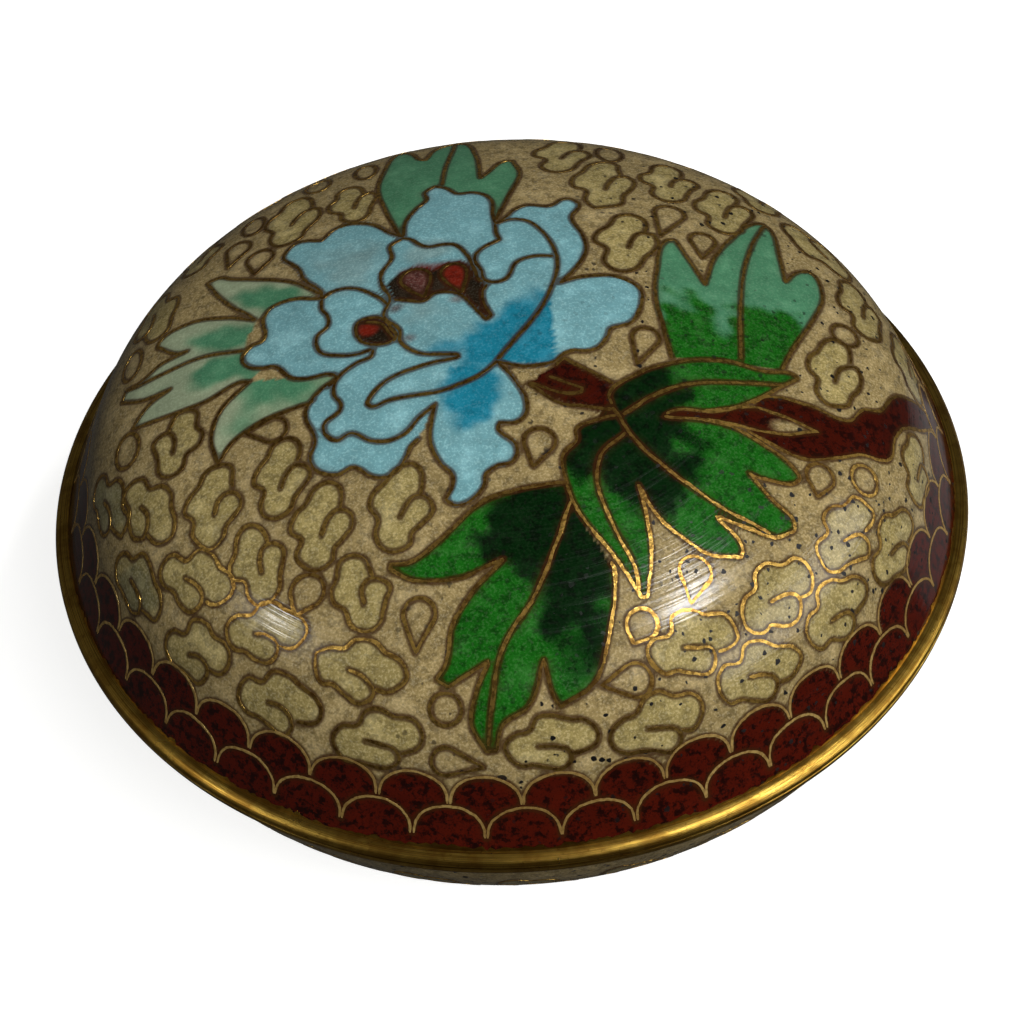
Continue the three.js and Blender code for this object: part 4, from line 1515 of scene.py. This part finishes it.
@dataclass(kw_only=True)
class BowlAssembly(EnamelledHalf):
    """The shallow bowl: its plainer enamel and wires, brass rim with collar, foot ring and blue inside.

    Each ring of clouds is its length along the curve, how many clouds it has, how they lean in degrees,
    and by what share of their spacing it is turned. A band of the scales' red runs round the foot.
    """

    foot_outer_radius: float
    collar_top: float
    lid_form: TurnedForm
    upright: bool = False
    rim_height: float = 0.9
    wall_height: float = 2.1
    wall_lean: float = 14
    shoulder_radius: float = 18
    crown_slope: float = 15
    rim_band: float = 0.35
    collar_thickness: float = 0.8
    collar_lead_in: float = 0.3
    collar_bevel: float = 0.12
    band_bevel: float = 0.05
    lid_clearance: float = 0.3
    foot_width: float = 2.4
    foot_flare: float = 0.5
    foot_edge: float = 0.4
    foot_band: float = 1.2
    enamel_rows: int = 66
    inner_step: int = 11
    cloud_rings: tuple[tuple[float, ...], ...] = ((38.2, 28, 90, 0), (31.2, 23, 96, 0.5))
    cloud_size: tuple[float, float] = (3.5, 2.3)
    lean_spread: float = 12

    def build(self, shop: Workshop) -> None:
        """Builds and dresses every piece of the bowl."""
        band = self.form.run_at_radius(self.foot_outer_radius + self.joint_gap) + self.foot_band
        wires, clouds = self.drawing(band)
        bent = self.gauge.bend("bowl_cloud_wires", self.skin, wires, SEED)
        skin, plane = self.enamel_skin()
        cells = PaintedCells(plane)
        for outline in clouds:
            cells.fill(Glaze.CLOUD, outline)
        cells.lay(Glaze.SCALE, np.hypot(*plane.T) < band)
        self.store_glazes(skin, cells, wires)
        shop.finish(bent, shop.wire, "gilt_brass")
        shop.finish(skin, shop.enamel, "outer_enamel", "bowl_enamel")
        shop.finish(self.rim(), shop.brass, "gilt_brass", "bowl_rim")
        shop.finish(self.foot(), shop.brass, "gilt_brass", "foot_ring")
        shop.finish(self.shell("bowl_counter_enamel"), shop.counter_enamel, "inner_enamel", "bowl_shell")

    def drawing(self, band: float) -> tuple[list[Path], list[Path]]:
        """The wires of two rings of scrolled clouds and of the band, and the clouds' outlines."""
        jitter = np.random.default_rng(SEED + 5)
        wires, cells = [], []
        for run, count, lean, shift in self.cloud_rings:
            for azimuth in 360 * (np.arange(count) + shift) / count:
                x, y = turned(run, math.radians(azimuth))
                turn = azimuth + lean + jitter.uniform(-self.lean_spread, self.lean_spread)
                wire, cell = cloud_paths(x, y, *self.cloud_size, turn, jitter)
                wires.append(wire)
                cells.append(cell)
        wires.append(ring_path(0, 0, band, band, 700))
        return wires, cells

    def enamel_skin(self) -> tuple[bpy.types.Object, Path]:
        """The bowl's enamel as a closed ring, and the plane points of its first vertices, outside."""
        start = self.form.run_at_radius(self.foot_outer_radius + self.joint_gap)
        runs = np.linspace(start, self.form.full_run, self.enamel_rows)
        outer = self.layer(runs, self.enamel_sink)
        inner = self.layer(runs[::-self.inner_step], self.enamel_thickness)
        section = np.vstack((outer, inner))
        piece = turned_piece("bowl_enamel_skin", section, self.columns, self.enamel_crease)
        return piece, turned(runs[:, None], ring_steps(self.columns)).reshape(-1, 2)

    def rim(self) -> bpy.types.Object:
        """The bowl's rim: a flange on the wall, an upright edge band and the collar standing on it."""
        bottom = self.rim_height - self.joint_gap
        height = self.collar_top - self.rim_plane
        runs = np.linspace(0, self.lid_form.full_run, 2000)
        radii, heights, _ = self.lid_form.section(runs, self.wall_thickness)
        collar = float(np.interp(-height, -heights, radii)) - self.lid_clearance
        bore = collar - self.collar_thickness
        bead = quarter_bead(self.rim_radius, self.rim_ledge, -self.rim_band, -bottom, self.bead_steps)
        section = np.vstack((
            ((bore, -bottom),), bead[::-1],
            ((self.rim_radius, -self.band_bevel), (self.rim_radius - self.band_bevel, 0)),
            ((collar, 0), (collar, height - self.collar_lead_in), (collar - self.collar_lead_in, height)),
            ((bore + self.collar_bevel, height), (bore, height - self.collar_bevel)),
        ))
        section[:, 1] += self.rim_plane
        return turned_piece("bowl_brass_rim", section, self.columns)

    def foot(self) -> bpy.types.Object:
        """The foot ring: its top follows the shell, and its outer side flares to a flat underside."""
        outer, bore = self.foot_outer_radius, self.foot_outer_radius - self.foot_flare - self.foot_width
        seat_runs = [self.form.run_at_radius(radius) for radius in (outer - self.foot_flare, bore)]
        seat = self.layer(np.linspace(*seat_runs, 6), self.enamel_thickness + self.joint_gap / 2)
        seat[-1, 0] = bore
        turn = np.linspace(0, math.pi / 2, 6)
        inward, down = self.foot_edge * (1 - np.cos(turn)), self.foot_edge * (1 - np.sin(turn))
        inner_edge = np.column_stack((bore + inward, down))
        outer_edge = np.column_stack((outer - inward, down))
        return turned_piece("bowl_foot", np.vstack((seat, inner_edge, outer_edge[::-1])), self.columns)


@dataclass(frozen=True)
class SoftBox:
    """A rectangular light, which hangs along a direction from a point over the lid.

    The point and its height are in millimetres, the distance and the size in metres, and the power in
    watts. The camera never sees it. It may be left out of dull light or of reflections.
    """

    name: str
    over: tuple[float, float]
    aim: tuple[float, float, float]
    distance: float
    size: tuple[float, float]
    power: float
    diffuse: bool = True
    glossy: bool = True
    height: float = 35

    def hang(self) -> None:
        """Adds the light to the scene."""
        light = bpy.data.lights.new(self.name, "AREA")
        light.shape = "RECTANGLE"
        light.size, light.size_y = self.size
        light.energy = self.power
        towards = Vector(self.aim).normalized()
        lamp = bpy.data.objects.new(self.name, light)
        lamp.rotation_euler = towards.to_track_quat("Z", "Y").to_euler()
        lamp.location = Vector((*self.over, self.height)) * MM + towards * self.distance
        lamp.visible_camera = False
        lamp.visible_diffuse = self.diffuse
        lamp.visible_glossy = self.glossy
        bpy.context.scene.collection.objects.link(lamp)


# Each light shows where the photograph has a highlight, or lights what is dull without showing.
STUDIO_LIGHTS = (
    SoftBox("key", (12.5, -26.0), (0.44, -0.1, 0.89), 0.55, (0.13, 0.075), 0.8),
    SoftBox("left_light", (-18.6, -24.7), (-0.694, -0.15, 0.706), 0.6, (0.05, 0.04), 0.19, diffuse=False),
    SoftBox("key_spread", (12.9, -25.4), (0.34, -0.56, 0.76), 0.55, (0.25, 0.2), 1.55, glossy=False),
    SoftBox("low_fill", (0, -30), (0.1, -0.99, 0.06), 0.4, (0.5, 0.04), 0.03, glossy=False),
    SoftBox("left_rim_light", (-24, -29), (-0.71, -0.19, 0.68), 0.6, (0.26, 0.22), 0.15, diffuse=False),
    SoftBox("right_haze", (36, -8), (0.63, 0.43, -0.65), 0.042, (0.04, 0.025), 0.0005, diffuse=False),
    SoftBox("right_rim_light", (26, -26), (0.88, -0.24, 0.4), 0.5, (0.5, 0.2), 0.75, diffuse=False),
)


@dataclass
class PhotoStudio:
    """The camera at the photograph's angle, soft studio light and a pale floor.

    The camera's distance and the target's rise are in rim radii, its angles in degrees, and the target's
    centre in pixels. The floor's sizes are in millimetres.
    """

    rim_radius: float
    rim_plane: float
    focal_pixels: float = 2450.8583
    image_pixels: float = 1024.0
    distance: float = 5.2229
    elevation: float = 46.3893
    roll: float = 3.9745
    centre_x: float = 503.8145
    centre_y: float = 405.7431
    target_rise: float = 0.25
    sensor: float = 36.0
    surround: Colour = (1.0, 0.96, 0.9)
    surround_strength: float = 0.04
    paper: Colour = (0.8, 0.8, 0.79)
    paper_glow: Colour = (1.0, 1.0, 0.99)
    paper_glow_strength: float = 0.85
    floor_flat: float = 600
    floor_bend: float = 250
    backdrop_top: float = 900
    backdrop_thickness: float = 20

    def build(self) -> None:
        """Sets camera, lights, world and floor."""
        self.set_camera()
        self.set_world()
        for light in STUDIO_LIGHTS:
            light.hang()
        self.set_floor()

    def set_camera(self) -> None:
        """Aims a camera so that the target falls where the photograph has it.

        It looks at the target from a distance in rim radii, is rolled, and is then pitched and yawed
        until the target lies at the photograph's centre_x and centre_y.
        """
        tilt, roll = math.radians(self.elevation), math.radians(self.roll)
        back = Vector((0, -math.cos(tilt), math.sin(tilt)))
        right = Vector((1, 0, 0))
        up = back.cross(right)
        across = math.cos(roll) * right - math.sin(roll) * up
        upward = math.sin(roll) * right + math.cos(roll) * up
        half = self.image_pixels / 2
        offset_x = (self.centre_x - half) / self.focal_pixels
        offset_y = (half - self.centre_y) / self.focal_pixels
        yaw = math.atan(offset_x)
        pitch = math.atan2(offset_y, math.sqrt(1 + offset_x**2))
        top = math.cos(pitch) * upward - math.sin(pitch) * back
        ahead = -math.sin(pitch) * upward - math.cos(pitch) * back
        side = math.cos(yaw) * across + math.sin(yaw) * ahead
        forward = math.cos(yaw) * ahead - math.sin(yaw) * across
        target = Vector((0, 0, self.rim_plane + self.target_rise * self.rim_radius))
        place = target + back * self.distance * self.rim_radius
        camera = bpy.data.objects.new("camera", bpy.data.cameras.new("camera"))
        camera.data.sensor_width = self.sensor
        camera.data.lens = self.focal_pixels / self.image_pixels * self.sensor
        camera.data.clip_start = 0.01
        turn = Matrix((side, top, -forward)).transposed().to_4x4()
        camera.matrix_world = Matrix.Translation(place * MM) @ turn
        bpy.context.scene.collection.objects.link(camera)
        bpy.context.scene.camera = camera

    def set_world(self) -> None:
        """A dim, slightly warm surround."""
        world = bpy.data.worlds.new("studio")
        world.use_nodes = True
        surround = world.node_tree.nodes["Background"]
        surround.inputs["Color"].default_value = (*self.surround, 1.0)
        surround.inputs["Strength"].default_value = self.surround_strength
        bpy.context.scene.world = world
        view = bpy.context.scene.view_settings
        view.view_transform = "Standard"
        view.look = "None"

    def set_floor(self) -> None:
        """A pale round floor that turns up into a backdrop, lit by eye and not by the box."""
        turn = np.linspace(0.1, math.pi / 2, 16)
        flat = np.column_stack((np.linspace(0, self.floor_flat, 7), np.zeros(7)))
        bend = np.column_stack((self.floor_flat + self.floor_bend * np.sin(turn),
                                self.floor_bend * (1 - np.cos(turn))))
        front, under = self.floor_flat + self.floor_bend, -self.backdrop_thickness
        back = front + self.backdrop_thickness
        outside = ((front, self.backdrop_top), (back, self.backdrop_top), (back, under), (0, under))
        floor = turned_piece("floor", np.vstack((flat, bend, outside))[::-1], 96)
        sheet = NodeSheet("pale_floor")
        sheet.surface({"Base Color": self.paper, "Roughness": 0.8, "Emission Color": self.paper_glow,
                       "Emission Strength": self.paper_glow_strength})
        floor.data.materials.append(sheet.material)
        floor.visible_diffuse = False
        floor.visible_glossy = False


def main() -> None:
    """Builds the box from the frame's sizes, and then the studio round it."""
    logging.basicConfig(level=logging.INFO, format="%(message)s")
    lid_low, lid_high = (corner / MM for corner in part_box("lid_rim"))
    bowl_rim_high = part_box("bowl_rim")[1] / MM
    foot_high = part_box("foot_ring")[1] / MM
    bright_wire = CloisonWire("bright_wire", (0.85, 0.58, 0.19), (0.4, 0.21, 0.05), metallic=0.5)
    shop = Workshop(FiredEnamel().material(), CloisonWire().material(), bright_wire.material(),
                    TurnedBrass().material(), CounterEnamel().material())
    lid = LidAssembly(rim_radius=lid_high.x, rim_plane=lid_low.z)
    lid.build(shop)
    bowl = BowlAssembly(rim_radius=lid_high.x, rim_plane=lid_low.z - PARTING_GAP,
                        foot_outer_radius=foot_high.x, collar_top=bowl_rim_high.z, lid_form=lid.form)
    bowl.build(shop)
    PhotoStudio(lid_high.x, lid_low.z).build()


if __name__ == "__main__":
    main()
